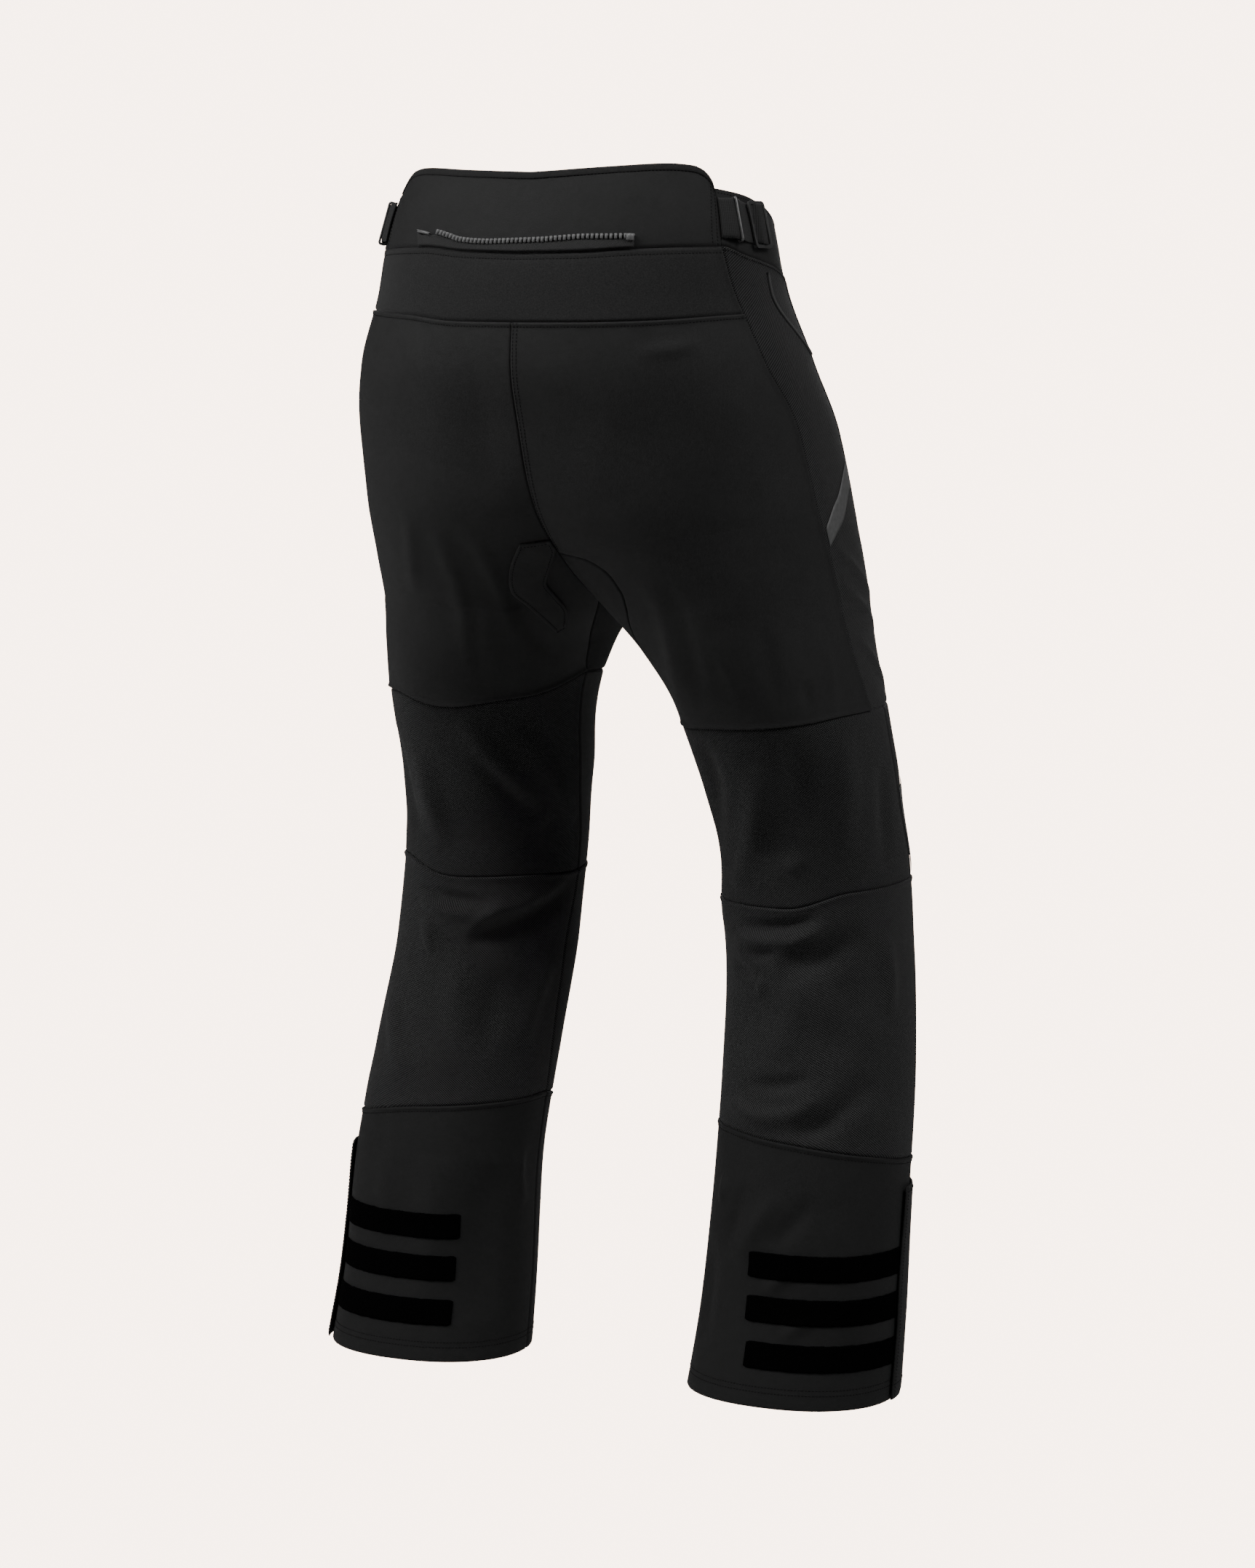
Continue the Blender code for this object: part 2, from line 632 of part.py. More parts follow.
def cuff_pieces(side, word):
    top, foot = -813.0, HEM_Z + 0.8
    root = down_line(FLAP_ROOT, side, top, foot, 6)
    edge = down_line(FLAP_EDGE, side, top, foot, 6)
    share = np.linspace(0, 1, 8)
    grid = np.stack([root + (edge - root) * s for s in share])
    rise = LIFT + FLAP_RISE * share[:, None] ** 1.5
    overlay(f"cuff_flap_{word}", side, grid, "shell", 1.4, rise + 0 * grid[..., 0])
    for number, (z, left_end, right_end) in enumerate(STRIPS, 1):
        outer_end = float(upright(FLAP_EDGE, side, z)) - 0.012
        turns = np.linspace(outer_end, left_end if side > 0 else right_end, 19)
        first = np.stack([turns, np.full(19, z)], -1)
        overlay(f"loop_strip_{word}_{number}", side, rows_between(first, first - (0, STRIP_HEIGHT), 1), "loop", 0.9)


def trims(side, word):
    # Reflective stripe on the hip, from the side seam up and forward
    shift = 0.0 if side < 0 else 0.012
    upper = line_through(((0.538, -240), (0.500, -218), (0.450, -194), (0.402, -182)), 12) + (shift, 0)
    lower = line_through(((0.536, -256), (0.496, -238), (0.446, -214), (0.402, -202)), 12) + (shift, 0)
    overlay(f"hip_stripe_{word}", side, rows_between(upper, lower, 2), "reflective", 0.7)

    # Reflective piece in front of the outer knee seam
    first = down_line(OUTSEAM, side, -474, -548, 5) - (0.008, 0)
    last = down_line(OUTSEAM, side, -466, -530, 5) - (0.050, 0)
    overlay(f"knee_stripe_{word}", side, rows_between(first, last, 3), "reflective", 0.7)

    # Piped edge of the hand pocket
    line = line_through(((0.512, -27), (0.512, -44), (0.500, -60), (0.470, -76), (0.412, -95)), 14)
    overlay(f"pocket_piping_{word}", side, ribbon(side, line, 3.2), "binding", 1.6)


def adjuster(side, word):
    """Webbing from under the back waistband, through a wire ring and a three-bar slide."""
    middle_z = 17.0
    per_mm = 1 / 425.0
    # Along the webbing from the back waistband, in millimetres, and the height of its underside:
    # over the ring's inner bar, under the slide's outer bars and over its middle one
    reach = np.array([0.7, 6, 11, 14.5, 17.5, 20.5, 25, 29, 34, 37, 40.4, 43.7, 47.1, 52.9, 56.3, 59.6, 63, 66.5])
    under = np.array([0.5, 1.5, 3.0, 3.5, 3.5, 3.5, 2.3, 1.2, 0.5, 0.5, 0.5, 2.7, 5.2, 5.2, 2.7, 0.5, 0.5, 0.5])
    turn = BACK_BAND_EDGE - reach * per_mm
    z = np.linspace(15.0, -15.0, 4) + middle_z
    grid = np.stack(np.meshgrid(turn, z, indexing="ij"), -1)
    slope = (turn[0] - turn) / (turn[0] - turn[-1])
    grid[..., 1] -= 7.0 * slope[:, None]
    lift = under[:, None] + 0 * grid[..., 0]
    overlay(f"webbing_{word}", side, grid, "webbing", WEBBING_WALL, lift)

    # Wire ring round the webbing
    at = BACK_BAND_EDGE - RING_REACH * per_mm
    centre, out = on_form(side, at, middle_z - 1.9)
    frame = local_axes(side, at, middle_z)
    inner = 0.5 + RING_WIRE / 2
    outer = 3.5 + WEBBING_WALL + 0.7 + RING_WIRE / 2
    path = rounded_path((outer - inner), RING_HEIGHT - RING_WIRE, 1.0, 3)
    path = path + ((outer + inner) / 2, 0)
    ring_wire = centre + path[:, :1] * out + path[:, 1:] * frame[1]
    sweep(f"wire_ring_{word}", ring_wire, RING_WIRE / 2, "metal")

    # Three-bar slide
    at = BACK_BAND_EDGE - GLIDE_REACH * per_mm
    base, out = on_form(side, at, middle_z - 5.3)
    run, up, _ = local_axes(side, at, middle_z)
    width, height = GLIDE_SIZE
    outline = rounded_path(width, height, 4.0, 4)
    bar = 1.6
    slot = (width - 2 * GLIDE_FRAME - 2 * bar) / 2
    holes = []
    for way in (-1, 1):
        hole = rounded_path(slot, height - 2 * GLIDE_FRAME, 1.5, 2)
        holes.append(hole + (way * (bar + slot / 2), 0))
    plate(f"three_bar_slide_{word}", base + out * 2.3, (run, up, out), outline, holes, GLIDE_WALL)


def local_axes(side, turn, z):
    """Axes along the band towards the front, up and outward at a point of the form."""
    ahead = on_form(side, turn - 2e-3, z)[0] - on_form(side, turn + 2e-3, z)[0]
    out = on_form(side, turn, z)[1]
    run = ahead / np.linalg.norm(ahead)
    up = np.cross(out, run)
    up *= np.sign(up[2])
    out = np.cross(run, up)
    out *= np.sign((out * on_form(side, turn, z)[1]).sum())
    return run, up, out


def rounded_path(width, height, radius, steps):
    """Rounded rectangle as a loop of points round its middle."""
    radius = min(radius, width / 2 - 0.01, height / 2 - 0.01)
    found = []
    for corner, (sx, sy) in enumerate(((1, 1), (-1, 1), (-1, -1), (1, -1))):
        for k in range(steps + 1):
            angle = math.pi / 2 * (corner + k / steps)
            x = sx * (width / 2 - radius) + radius * math.cos(angle)
            y = sy * (height / 2 - radius) + radius * math.sin(angle)
            found.append((x, y))
    return np.array(found)


def sweep(name, path, radius, finish, around=8):
    """Round wire along a closed path."""
    run = np.roll(path, -1, 0) - np.roll(path, 1, 0)
    run /= np.linalg.norm(run, axis=-1, keepdims=True)
    normal = np.cross(path[1] - path[0], path[len(path) // 3] - path[0])
    normal /= np.linalg.norm(normal)
    side_way = np.cross(run, normal)
    angle = np.linspace(0, 2 * math.pi, around, endpoint=False)
    circle = side_way[:, None] * np.cos(angle)[None, :, None] + normal * np.sin(angle)[None, :, None]
    verts = (path[:, None] + circle * radius).reshape(-1, 3)
    faces = []
    count = len(path)
    for i in range(count):
        for j in range(around):
            a, b = i * around + j, i * around + (j + 1) % around
            c, d = (i + 1) % count * around + (j + 1) % around, (i + 1) % count * around + j
            faces.append((a, b, c, d))
    add_object(name, verts, faces, finish)


def plate(name, base, axes, outline, holes, thick):
    """Flat plate with holes, its back face on the base point."""
    run, up, out = axes
    loops = [outline] + [hole[::-1] for hole in holes]
    flat = np.concatenate(loops)
    tris = tessellate_polygon([[(x, y, 0) for x, y in loop] for loop in loops])
    back = base + flat[:, :1] * run + flat[:, 1:] * up
    verts = np.concatenate([back + out * thick, back])
    count = len(flat)
    faces = []
    for tri in tris:
        faces += [tuple(tri), tuple(i + count for i in tri[::-1])]
    area = sum(np.cross(flat[b] - flat[a], flat[c] - flat[a]) for a, b, c in tris)
    start = 0
    for loop in loops:
        n = len(loop)
        for k in range(n):
            a, b = start + k, start + (k + 1) % n
            wall = (b, a, a + count) if area > 0 else (a, b, b + count)
            other = (b, a + count, b + count) if area > 0 else (a, b + count, a + count)
            faces += [wall, other]
        start += n
    add_object(name, verts, faces, "plastic", flat=True)


def seat_patch():
    """Raised wear patch on the left seat, a bent shape with a longer lower limb."""
    outer = line_through(((292, -254), (292, -268), (293.5, -287), (296, -297), (304, -308), (315.4, -322), (328, -336)), 14)
    inner = line_through(((302, -250), (306.5, -259), (308.2, -274), (309, -287), (317, -302), (325, -314), (331, -332)), 14)
    grid = rows_between(outer, inner, 4)
    grid[..., 0] = turn_at(np.radians(grid[..., 0]), grid[..., 1])
    overlay("seat_patch", 1, grid, "patch", 2.2, 0.9)


def jacket_zip():
    """Open half of the zip that joins a jacket, along the back waistband's lower edge."""
    teeth = line_through(
        ((0.822, 4.5), (0.854, 4.6), (0.886, 1.5), (0.912, -2), (0.962, -4), (1.024, -3), (1.1, -0.6), (1.176, -0.5)), 32
    )
    foot_left = level(BAND_SEAM, 1, np.minimum(teeth[:, 0], 1))
    foot_right = level(BAND_SEAM, -1, np.minimum(2 - teeth[:, 0], 1))
    foot = np.where(teeth[:, 0] > 1, foot_right, foot_left) + 1.0
    low = np.stack([teeth[:, 0], foot], -1)
    high = teeth + (0, -0.4)
    overlay("zip_tape", 0, rows_between(low, high, 1), "zip", 0.9)
    grid = rows_between(teeth + (0, 0.2), teeth + (0, 4.4), 1)
    overlay("zip_chain", 0, grid, "zip", 2.4)


def front_closure():
    """Plain button at the front of the waist, above the fly facing."""
    run, up, out = local_axes(1, 0.055, -20)
    centre = on_form(1, 0.055, -20, 0.5)[0]
    outline = np.array([(math.cos(a), math.sin(a)) for a in np.linspace(0, 2 * math.pi, 24, endpoint=False)])
    plate("waist_button", centre, (run, up, out), outline * BUTTON_RADIUS, [], 2.6)


for old in list(bpy.data.objects):
    bpy.data.objects.remove(old, do_unlink=True)
TROUSERS = bpy.data.collections.new("motorcycle_trousers")
bpy.context.scene.collection.children.link(TROUSERS)

waist_panels()
for leg, leg_name in ((1, "left"), (-1, "right")):
    upper_panels(leg, leg_name)
    lower_panels(leg, leg_name)
    cuff_pieces(leg, leg_name)
    trims(leg, leg_name)
    adjuster(leg, leg_name)
seat_patch()
jacket_zip()
front_closure()
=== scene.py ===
"""Looks of the motorcycle trousers: a fine shell for every cloth panel, with seams, topstitching, creases,
knit, a moulded zip, adjusters and closing strips, on a pale floor in soft studio light.
Lengths are millimetres until a mesh is made, then metres. +Z is up, the front faces -Y and the wearer's
left is +X."""

import math

import bpy
import numpy as np
from mathutils import Matrix, Vector


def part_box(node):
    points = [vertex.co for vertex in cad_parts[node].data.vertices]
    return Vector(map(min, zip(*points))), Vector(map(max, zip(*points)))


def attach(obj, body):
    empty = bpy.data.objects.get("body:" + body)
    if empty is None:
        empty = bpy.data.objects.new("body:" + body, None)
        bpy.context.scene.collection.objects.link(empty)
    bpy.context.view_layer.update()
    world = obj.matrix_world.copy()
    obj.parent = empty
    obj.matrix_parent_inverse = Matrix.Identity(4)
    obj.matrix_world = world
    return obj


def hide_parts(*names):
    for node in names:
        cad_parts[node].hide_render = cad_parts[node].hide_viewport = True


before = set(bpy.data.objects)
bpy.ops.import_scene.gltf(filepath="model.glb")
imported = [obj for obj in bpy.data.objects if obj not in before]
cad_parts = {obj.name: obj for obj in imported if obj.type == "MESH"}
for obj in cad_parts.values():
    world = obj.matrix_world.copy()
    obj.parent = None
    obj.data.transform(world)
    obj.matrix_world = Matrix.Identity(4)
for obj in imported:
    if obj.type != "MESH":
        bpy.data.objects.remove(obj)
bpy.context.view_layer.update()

# Sizes shared with the CAD part, in millimetres
WALL = 1.8
BAND_WALL = 2.4
HEM_Z = -990.0
CROTCH_Z = -312.0
KNEE_GIRTH = 560.0
BACK_BAND_EDGE = 0.645
STRIP_HEIGHT = 22.0
FLAP_RISE = 2.5

# Sizes of the finer form
MM = 0.001
CELL = 3.1
FINE = 240
SEAM_ROWS = (0.0, 0.5, 1.1, 1.9, 2.8, 3.8, 5.0, 6.6, 9.0)
STITCH_PITCH = 3.0
STITCH_LENGTH = 2.2
STITCH_RADIUS = 0.36
SEAM_INSET = 3.8
PUCKER_WIDTH = 1.7
HEM_STITCHES = (13, 17.5)
HEM_DENTS = (("bottom", 17.5, 0.9, 0.4), ("bottom", 13, 0.7, 0.35))
FLAP_WALL = 1.4
ON_MIDDLE = 0.02
CREASE_POINTS = 14
MEET_ROUNDS = 40
TURNS_PER_MM = 1 / 425.0

# Share of the creases that a sewn edge holds flat, how far in it does so, and how much the inner face follows
CALM = 0.85
CALM_WIDTH = 7.0
INNER_FOLLOWS = 0.8

# How the cloth rises and dips beside an edge, for each way of sewing it.
# Each hill: height, distance in from the edge, half width
EDGE_FORMS = {
    "lap": ((1.2, 1.6, 2.6), (-1.0, 0.0, 0.5)),
    "tuck": ((-1.6, 0.0, 1.5),),
    "free": ((-0.7, 0.0, 0.8),),
    "butt": ((-1.0, 0.0, 0.8),),
}

# Slight lie of real cloth, as waves.
# columns: three lengths over which a wave turns by one radian, height
LIE_WAVES = (
    (31, 47, 23, 0.18),
    (-19, 38, 41, 0.14),
    (53, -29, 67, 0.25),
    (13, 17, -15, 0.07),
)

# Moulded parts of the zip: half width, half depth and height of a tooth, the end box and the left stop
TOOTH = (1.1, 1.35, 4.3)
END_BOX = (3.4, 1.8, 5.6)
LEFT_STOP = (9.0, 1.0, 2.2)
# Its rings: share of the height, share of the half width, share of the half depth
MOULDED_RINGS = ((0.0, 0.7, 0.8), (0.06, 0.95, 1.0), (0.6, 0.85, 1.0), (0.9, 1.1, 0.95), (1.0, 0.8, 0.6))
ZIP_PITCH = 3.95
ZIP_BARE_SHARE = 0.12

# Height of the webbing's underside along it: over the ring's inner bar, under and over the slide's bars.
# columns: millimetres from the back waistband, height
WEBBING_LIFT = (
    (0.7, 0.5), (6, 1.8), (11, 3.8), (14.5, 4.4), (20.5, 4.4), (25, 2.8), (29, 1.3), (34, 0.5), (40.4, 0.5),
    (43.7, 2.7), (47.1, 5.2), (52.9, 5.2), (56.3, 2.7), (59.6, 0.5), (66.5, 0.5),
)
WEBBING_HALF = 16.2

# Waist button: its turn and z, and its outline as radius and height
BUTTON_PLACE = (0.055, -20)
BUTTON = (
    (0.02, 2.3), (3.0, 2.3), (4.6, 2.1), (5.4, 2.3), (7.2, 3.0),
    (8.2, 2.7), (8.5, 1.6), (7.4, 0.2), (0.02, 0.0),
)

# Camera and light. The view turns from straight behind towards the wearer's right.
VIEW_TURN = math.radians(26.0)
VIEW_TILT = math.radians(6.89)
FOCAL_PIXELS = 5280
PHOTO_HEIGHT = 2156
SENSOR = 36.0
AHEAD = (math.sin(VIEW_TURN), -math.cos(VIEW_TURN), 0.0)
RIGHT = (-math.cos(VIEW_TURN), -math.sin(VIEW_TURN), 0.0)
PALE = (7.1, 5.65, 4.75, 1)
ROOM_LIGHT = 0.012
# columns: name, metres to the right, back and up as the camera sees them, size, power, height aimed at
LIGHTS = (
    ("key", -1.5, 0.75, 1.75, (1.0, 0.8), 24, -0.25),
    ("left", -2.2, 0.3, 0.6, (1.0, 1.6), 17, -0.4),
    ("top", 0.0, 0.2, 2.4, (1.6, 1.0), 4, -0.3),
    ("right_high", 1.6, 1.4, 1.6, (1.0, 1.0), 29, -0.3),
    ("right", 2.3, 0.3, 0.6, (1.0, 1.8), 4, -0.4),
    ("far", 0.3, -2.6, 0.7, (2.0, 1.6), 20, -0.4),
)

# A wave texture of scale 1 repeats after this length
WAVE_LENGTH = 0.314

# The form under the cloth, wearer's left half. A negative inner value means that both halves are one there.
# columns: z, inner x, outer x, front y, back y, roundness
SECTIONS = (
    (70, -148, 148, -86, 84, 2.3),
    (30, -165, 165, -104, 104, 2.3),
    (0, -172, 172, -112, 115, 2.3),
    (-40, -178, 178, -126, 125, 2.3),
    (-100, -198, 198, -146, 132, 2.3),
    (-160, -165, 211, -176, 117, 2.3),
    (-220, -98, 214, -200, 98, 2.25),
    (-270, -37, 216, -212, 68, 2.2),
    (-312, 0, 217, -216, 44, 2.2),
    (-350, 33, 220, -216, 28, 2.2),
    (-400, 56, 227, -216, 0, 2.2),
    (-480, 70, 233, -222, -40, 2.2),
    (-540, 77, 240, -224, -61, 2.2),
    (-620, 83, 248, -218, -59, 2.2),
    (-720, 90, 259, -193, -38, 2.2),
    (-820, 94, 266, -163, -12, 2.2),
    (-920, 90, 269, -143, 5, 2.2),
    (-990, 86, 272, -124, 26, 2.2),
)

# Upright seams. A turn is 0 at the front or inner side, 0.5 at the outer side and 1 back where it began.
# columns: z, turn on the left leg, turn on the right leg
SIDE_SEAM = (
    (-6, 0.645, 0.645),
    (-30, 0.628, 0.625),
    (-62, 0.617, 0.614),
    (-100, 0.603, 0.600),
    (-140, 0.584, 0.574),
    (-190, 0.574, 0.560),
    (-244, 0.572, 0.546),
    (-298, 0.576, 0.531),
    (-350, 0.586, 0.517),
    (-420, 0.600, 0.503),
)
POCKET_SEAM = (
    (0, 0.405, 0.400),
    (-100, 0.400, 0.390),
    (-200, 0.395, 0.375),
    (-300, 0.400, 0.355),
    (-420, 0.410, 0.340),
)
INSEAM = (
    (-370, 0.996, 0.900),
    (-480, 1.004, 0.918),
    (-560, 1.010, 0.930),
    (-640, 0.992, 0.928),
    (-720, 1.004, 0.935),
    (-800, 1.018, 0.945),
    (-990, 1.016, 0.945),
)
OUTSEAM = (
    (-380, 0.560, 0.462),
    (-480, 0.558, 0.460),
    (-560, 0.545, 0.452),
    (-660, 0.550, 0.462),
    (-800, 0.535, 0.460),
    (-990, 0.520, 0.450),
)
FLAP_EDGE = (
    (-800, 0.586, 0.498),
    (-865, 0.576, 0.506),
    (-913, 0.572, 0.510),
    (-990, 0.572, 0.510),
)
FLAP_ROOT = (
    (-800, 0.435, 0.355),
    (-990, 0.435, 0.355),
)

# Seams of the inner thigh, as knots from the crotch to the knee. The first one lies on the middle plane.
# For the left leg, 1, and the right, -1. columns: angle in degrees, z
BACK_THIGH = {
    1: ((338, -303), (341, -309), (345, -322), (350, -336), (355, -351), (358, -366), (361, -378)),
    -1: (
        (308, -262), (293, -266), (287, -279), (288, -293),
        (293, -308), (304, -326), (318, -350), (322.5, -404),
    ),
}
FRONT_THIGH = {
    1: ((38, -284), (49, -300), (54, -330), (53, -365), (52, -383)),
    -1: ((38, -284), (42, -300), (34, -330), (22, -365), (14, -399)),
}

# columns: z of a strip's upper edge, turn of its inner end on the left leg, on the right leg
STRIPS = (
    (-862, 0.841, 0.786),
    (-899, 0.836, 0.784),
    (-937, 0.836, 0.777),
)

# Level seams and edges.
# columns: turn, z on the left half, z on the right half
BACK_BAND_TOP = (
    (0.645, 43, 43),
    (0.652, 51, 51),
    (0.665, 56, 56),
    (0.690, 59.5, 59.5),
    (0.750, 61, 61),
    (0.880, 58, 58.5),
    (1.000, 55, 55),
)
FRONT_BAND_TOP = (
    (0.000, 2, 2),
    (0.150, 4, 4),
    (0.300, 9, 9),
    (0.400, 18, 18),
    (0.468, 27, 27),
    (0.542, 36, 36),
    (0.645, 42, 42),
)
BAND_SEAM = (
    (0.000, -45, -45),
    (0.150, -43, -43),
    (0.300, -38, -38),
    (0.400, -31, -31),
    (0.510, -19, -19),
    (0.580, -13, -13),
    (0.645, -6, -6),
    (0.830, -5, -8),
    (0.920, -9, -10.5),
    (1.000, -11, -11),
)
YOKE_SEAM = (
    (0.550, -57, -60),
    (0.650, -58, -62),
    (0.826, -62, -67),
    (0.920, -67, -68),
    (1.000, -68, -68),
)
KNEE_TOP = (
    (0.000, -377, -400),
    (0.100, -381, -398),
    (0.300, -390, -396),
    (0.450, -394, -399),
    (0.560, -393, -401),
    (0.650, -392, -407),
    (0.760, -404, -412),
    (0.850, -397, -413),
    (0.930, -390, -412),
    (1.000, -377, -400),
)
CALF_TOP = (
    (0.000, -564, -565),
    (0.100, -560, -560),
    (0.300, -552, -552),
    (0.450, -549, -553),
    (0.630, -549, -557),
    (0.750, -564, -572),
    (0.880, -562, -571),
    (1.000, -564, -565),
)
CUFF_TOP = (
    (0.000, -763, -764),
    (0.200, -778, -778),
    (0.420, -790, -792),
    (0.600, -782, -780),
    (0.760, -769, -769),
    (0.870, -765, -764),
    (1.000, -763, -764),
)

# Broad folds: the middle of each as turn and z, its slant from level, half length, half width and height.
# columns: side, turn, z, slant in degrees, half length, half width, height
FOLDS = (
    (1, 0.80, -596, 12, 70, 17, 5.0),
    (1, 0.86, -640, -18, 60, 18, 3.5),
    (1, 0.72, -735, 20, 70, 20, 3.0),
    (1, 0.84, -345, -55, 70, 20, 3.5),
    (1, 0.70, -540, -8, 60, 17, 3.0),
    (1, 0.25, -450, 6, 90, 26, 4.0),
    (-1, 0.80, -610, 28, 80, 18, 5.0),
    (-1, 0.70, -655, 24, 70, 18, 4.0),
    (-1, 0.66, -740, 14, 80, 20, 3.5),
    (-1, 0.80, -370, -50, 80, 20, 4.0),
    (-1, 0.72, -535, -10, 60, 17, 3.0),
    (-1, 0.25, -450, -6, 90, 26, 4.0),
)

# Finer creases, each on a curve through three points of the cloth.
# columns: side, three pairs of angle in degrees and z, half width, height
CREASES = (
    # Left calf
    (1, 246, -574, 272, -583, 296, -585, 5, -6.0),
    (1, 246, -585, 270, -595, 300, -598, 5, 5.0),
    (1, 306, -584, 292, -600, 280, -616, 6, 4.5),
    (1, 282, -618, 312, -606, 356, -578, 10, -8.5),
    (1, 288, -598, 316, -588, 360, -562, 6, 3.0),
    (1, 256, -600, 258, -618, 260, -636, 7, 4.0),
    (1, 228, -668, 242, -706, 258, -746, 10, 5.0),
    (1, 344, -640, 334, -674, 332, -722, 10, 5.0),
    (1, 282, -636, 280, -672, 290, -706, 14, 4.0),
    (1, 306, -646, 304, -690, 306, -728, 13, -4.0),
    # Left knee
    (1, 280, -414, 306, -470, 332, -516, 11, 5.5),
    (1, 288, -448, 310, -490, 328, -508, 9, -5.5),
    (1, 312, -424, 336, -472, 358, -516, 11, 4.0),
    (1, 250, -444, 254, -494, 264, -540, 12, 5.0),
    (1, 220, -430, 228, -484, 242, -530, 11, -3.5),
    # Right knee
    (-1, 270, -444, 276, -494, 304, -560, 12, 6.5),
    (-1, 252, -522, 260, -532, 266, -540, 7, 3.5),
    (-1, 244, -414, 245, -468, 252, -506, 14, -5.5),
    (-1, 302, -424, 304, -470, 332, -528, 13, -5.5),
    (-1, 212, -416, 216, -468, 230, -524, 14, 5.0),
    (-1, 184, -446, 188, -492, 200, -542, 11, -4.0),
    # Right calf
    (-1, 300, -586, 274, -587, 248, -577, 5, -6.0),
    (-1, 302, -598, 271, -600, 246, -586, 6, 6.0),
    (-1, 298, -612, 285, -612, 272, -609, 5, -4.0),
    (-1, 275, -611, 257, -597, 241, -580, 6, 3.0),
    (-1, 272, -626, 251, -611, 217, -590, 12, -9.0),
    (-1, 281, -632, 283, -640, 284, -650, 5, 4.0),
    (-1, 309, -626, 297, -630, 289, -634, 5, -4.0),
    (-1, 203, -590, 201, -630, 202, -666, 9, 5.0),
    (-1, 312, -738, 276, -750, 248, -728, 8, 6.5),
    (-1, 292, -722, 273, -722, 254, -713, 7, -6.0),
    (-1, 264, -760, 243, -746, 216, -714, 11, -8.5),
    (-1, 264, -634, 268, -670, 273, -702, 14, 4.5),
    (-1, 238, -630, 236, -666, 240, -700, 15, -4.5),
    # Left seat
    (1, 262, -242, 276, -302, 296, -388, 9, 3.0),
    (1, 270, -270, 285, -332, 297, -392, 7, -2.5),
    (1, 272, -242, 293, -300, 316, -362, 8, 2.5),
    (1, 291, -280, 306, -320, 338, -364, 7, -2.5),
    (1, 248, -226, 252, -264, 253, -304, 8, 2.0),
    (1, 297, -252, 307, -260, 317, -276, 4, -2.5),
    (1, 239, -90, 254, -138, 260, -186, 20, 2.0),
    (1, 260, -102, 268, -156, 272, -212, 18, -2.0),
    # Right seat
    (-1, 274, -282, 280, -332, 308, -400, 8, 2.5),
    (-1, 258, -328, 260, -358, 262, -384, 7, 2.0),
    (-1, 203, -328, 205, -360, 211, -396, 7, 2.0),
    (-1, 222, -366, 224, -382, 227, -398, 5, -2.0),
    (-1, 240, -92, 230, -90, 220, -84, 6, 2.0),
    (-1, 267, -282, 270, -332, 286, -394, 8, -2.0),
    (-1, 236, -320, 238, -358, 243, -394, 9, -2.0),
    (-1, 246, -114, 256, -162, 264, -214, 20, 1.5),
    (-1, 212, -114, 213, -172, 214, -234, 22, 1.5),
    # Right side panel
    (-1, 186, -252, 174, -278, 152, -306, 5, 2.5),
    (-1, 186, -286, 174, -308, 150, -332, 5, 2.5),
    (-1, 180, -338, 166, -360, 150, -386, 5, 2.5),
    # Left side panel, like the right one
    (1, 190, -240, 172, -272, 148, -296, 5, 2.5),
    (1, 188, -300, 170, -322, 150, -350, 6, 2.5),
    # Left cuff
    (1, 348, -804, 345, -828, 353, -860, 7, 4.0),
    (1, 318, -818, 317, -882, 320, -956, 20, -6.0),
    (1, 284, -812, 284, -876, 287, -944, 18, 4.0),
    (1, 258, -804, 256, -848, 261, -886, 11, 2.5),
    # Right cuff
    (-1, 314, -804, 310, -816, 316, -828, 6, 4.0),
    (-1, 290, -806, 298, -842, 304, -872, 9, -4.0),
    (-1, 270, -812, 281, -842, 291, -868, 9, 3.5),
    (-1, 250, -814, 262, -838, 272, -858, 9, -3.5),
    (-1, 236, -822, 227, -882, 226, -936, 18, 4.0),
    (-1, 315, -858, 319, -908, 312, -950, 14, -4.5),
    (-1, 259, -878, 266, -885, 273, -896, 6, 3.0),
    (-1, 245, -917, 255, -923, 262, -933, 6, 3.0),
    # Fronts, which the photograph doesn't show
    (1, 46, -262, 66, -248, 92, -240, 8, 5.0),
    (-1, 44, -258, 64, -250, 90, -236, 8, 5.5),
    (1, 50, -300, 70, -290, 100, -292, 9, -4.0),
    (-1, 48, -306, 72, -300, 98, -288, 9, -4.0),
    (1, 60, -520, 92, -532, 128, -520, 9, 5.5),
    (-1, 58, -524, 88, -534, 124, -516, 9, 5.5),
    (1, 70, -600, 95, -606, 125, -596, 7, 5.0),
    (-1, 66, -604, 94, -608, 120, -600, 7, 4.5),
    (1, 40, -590, 62, -600, 90, -622, 7, -5.5),
    (-1, 36, -588, 60, -602, 84, -626, 7, -5.5),
    (1, 80, -660, 90, -700, 96, -745, 10, 4.5),
    (-1, 84, -655, 92, -700, 90, -742, 10, 4.5),
    (1, 120, -640, 128, -690, 124, -740, 9, -3.5),
    (-1, 118, -650, 124, -695, 128, -745, 9, -3.5),
    (1, 70, -830, 78, -880, 76, -940, 14, 5.0),
    (-1, 66, -826, 74, -884, 78, -946, 14, 5.0),
    (1, 110, -840, 118, -900, 116, -950, 13, -4.5),
    (-1, 114, -836, 120, -900, 112, -956, 13, -4.5),
)


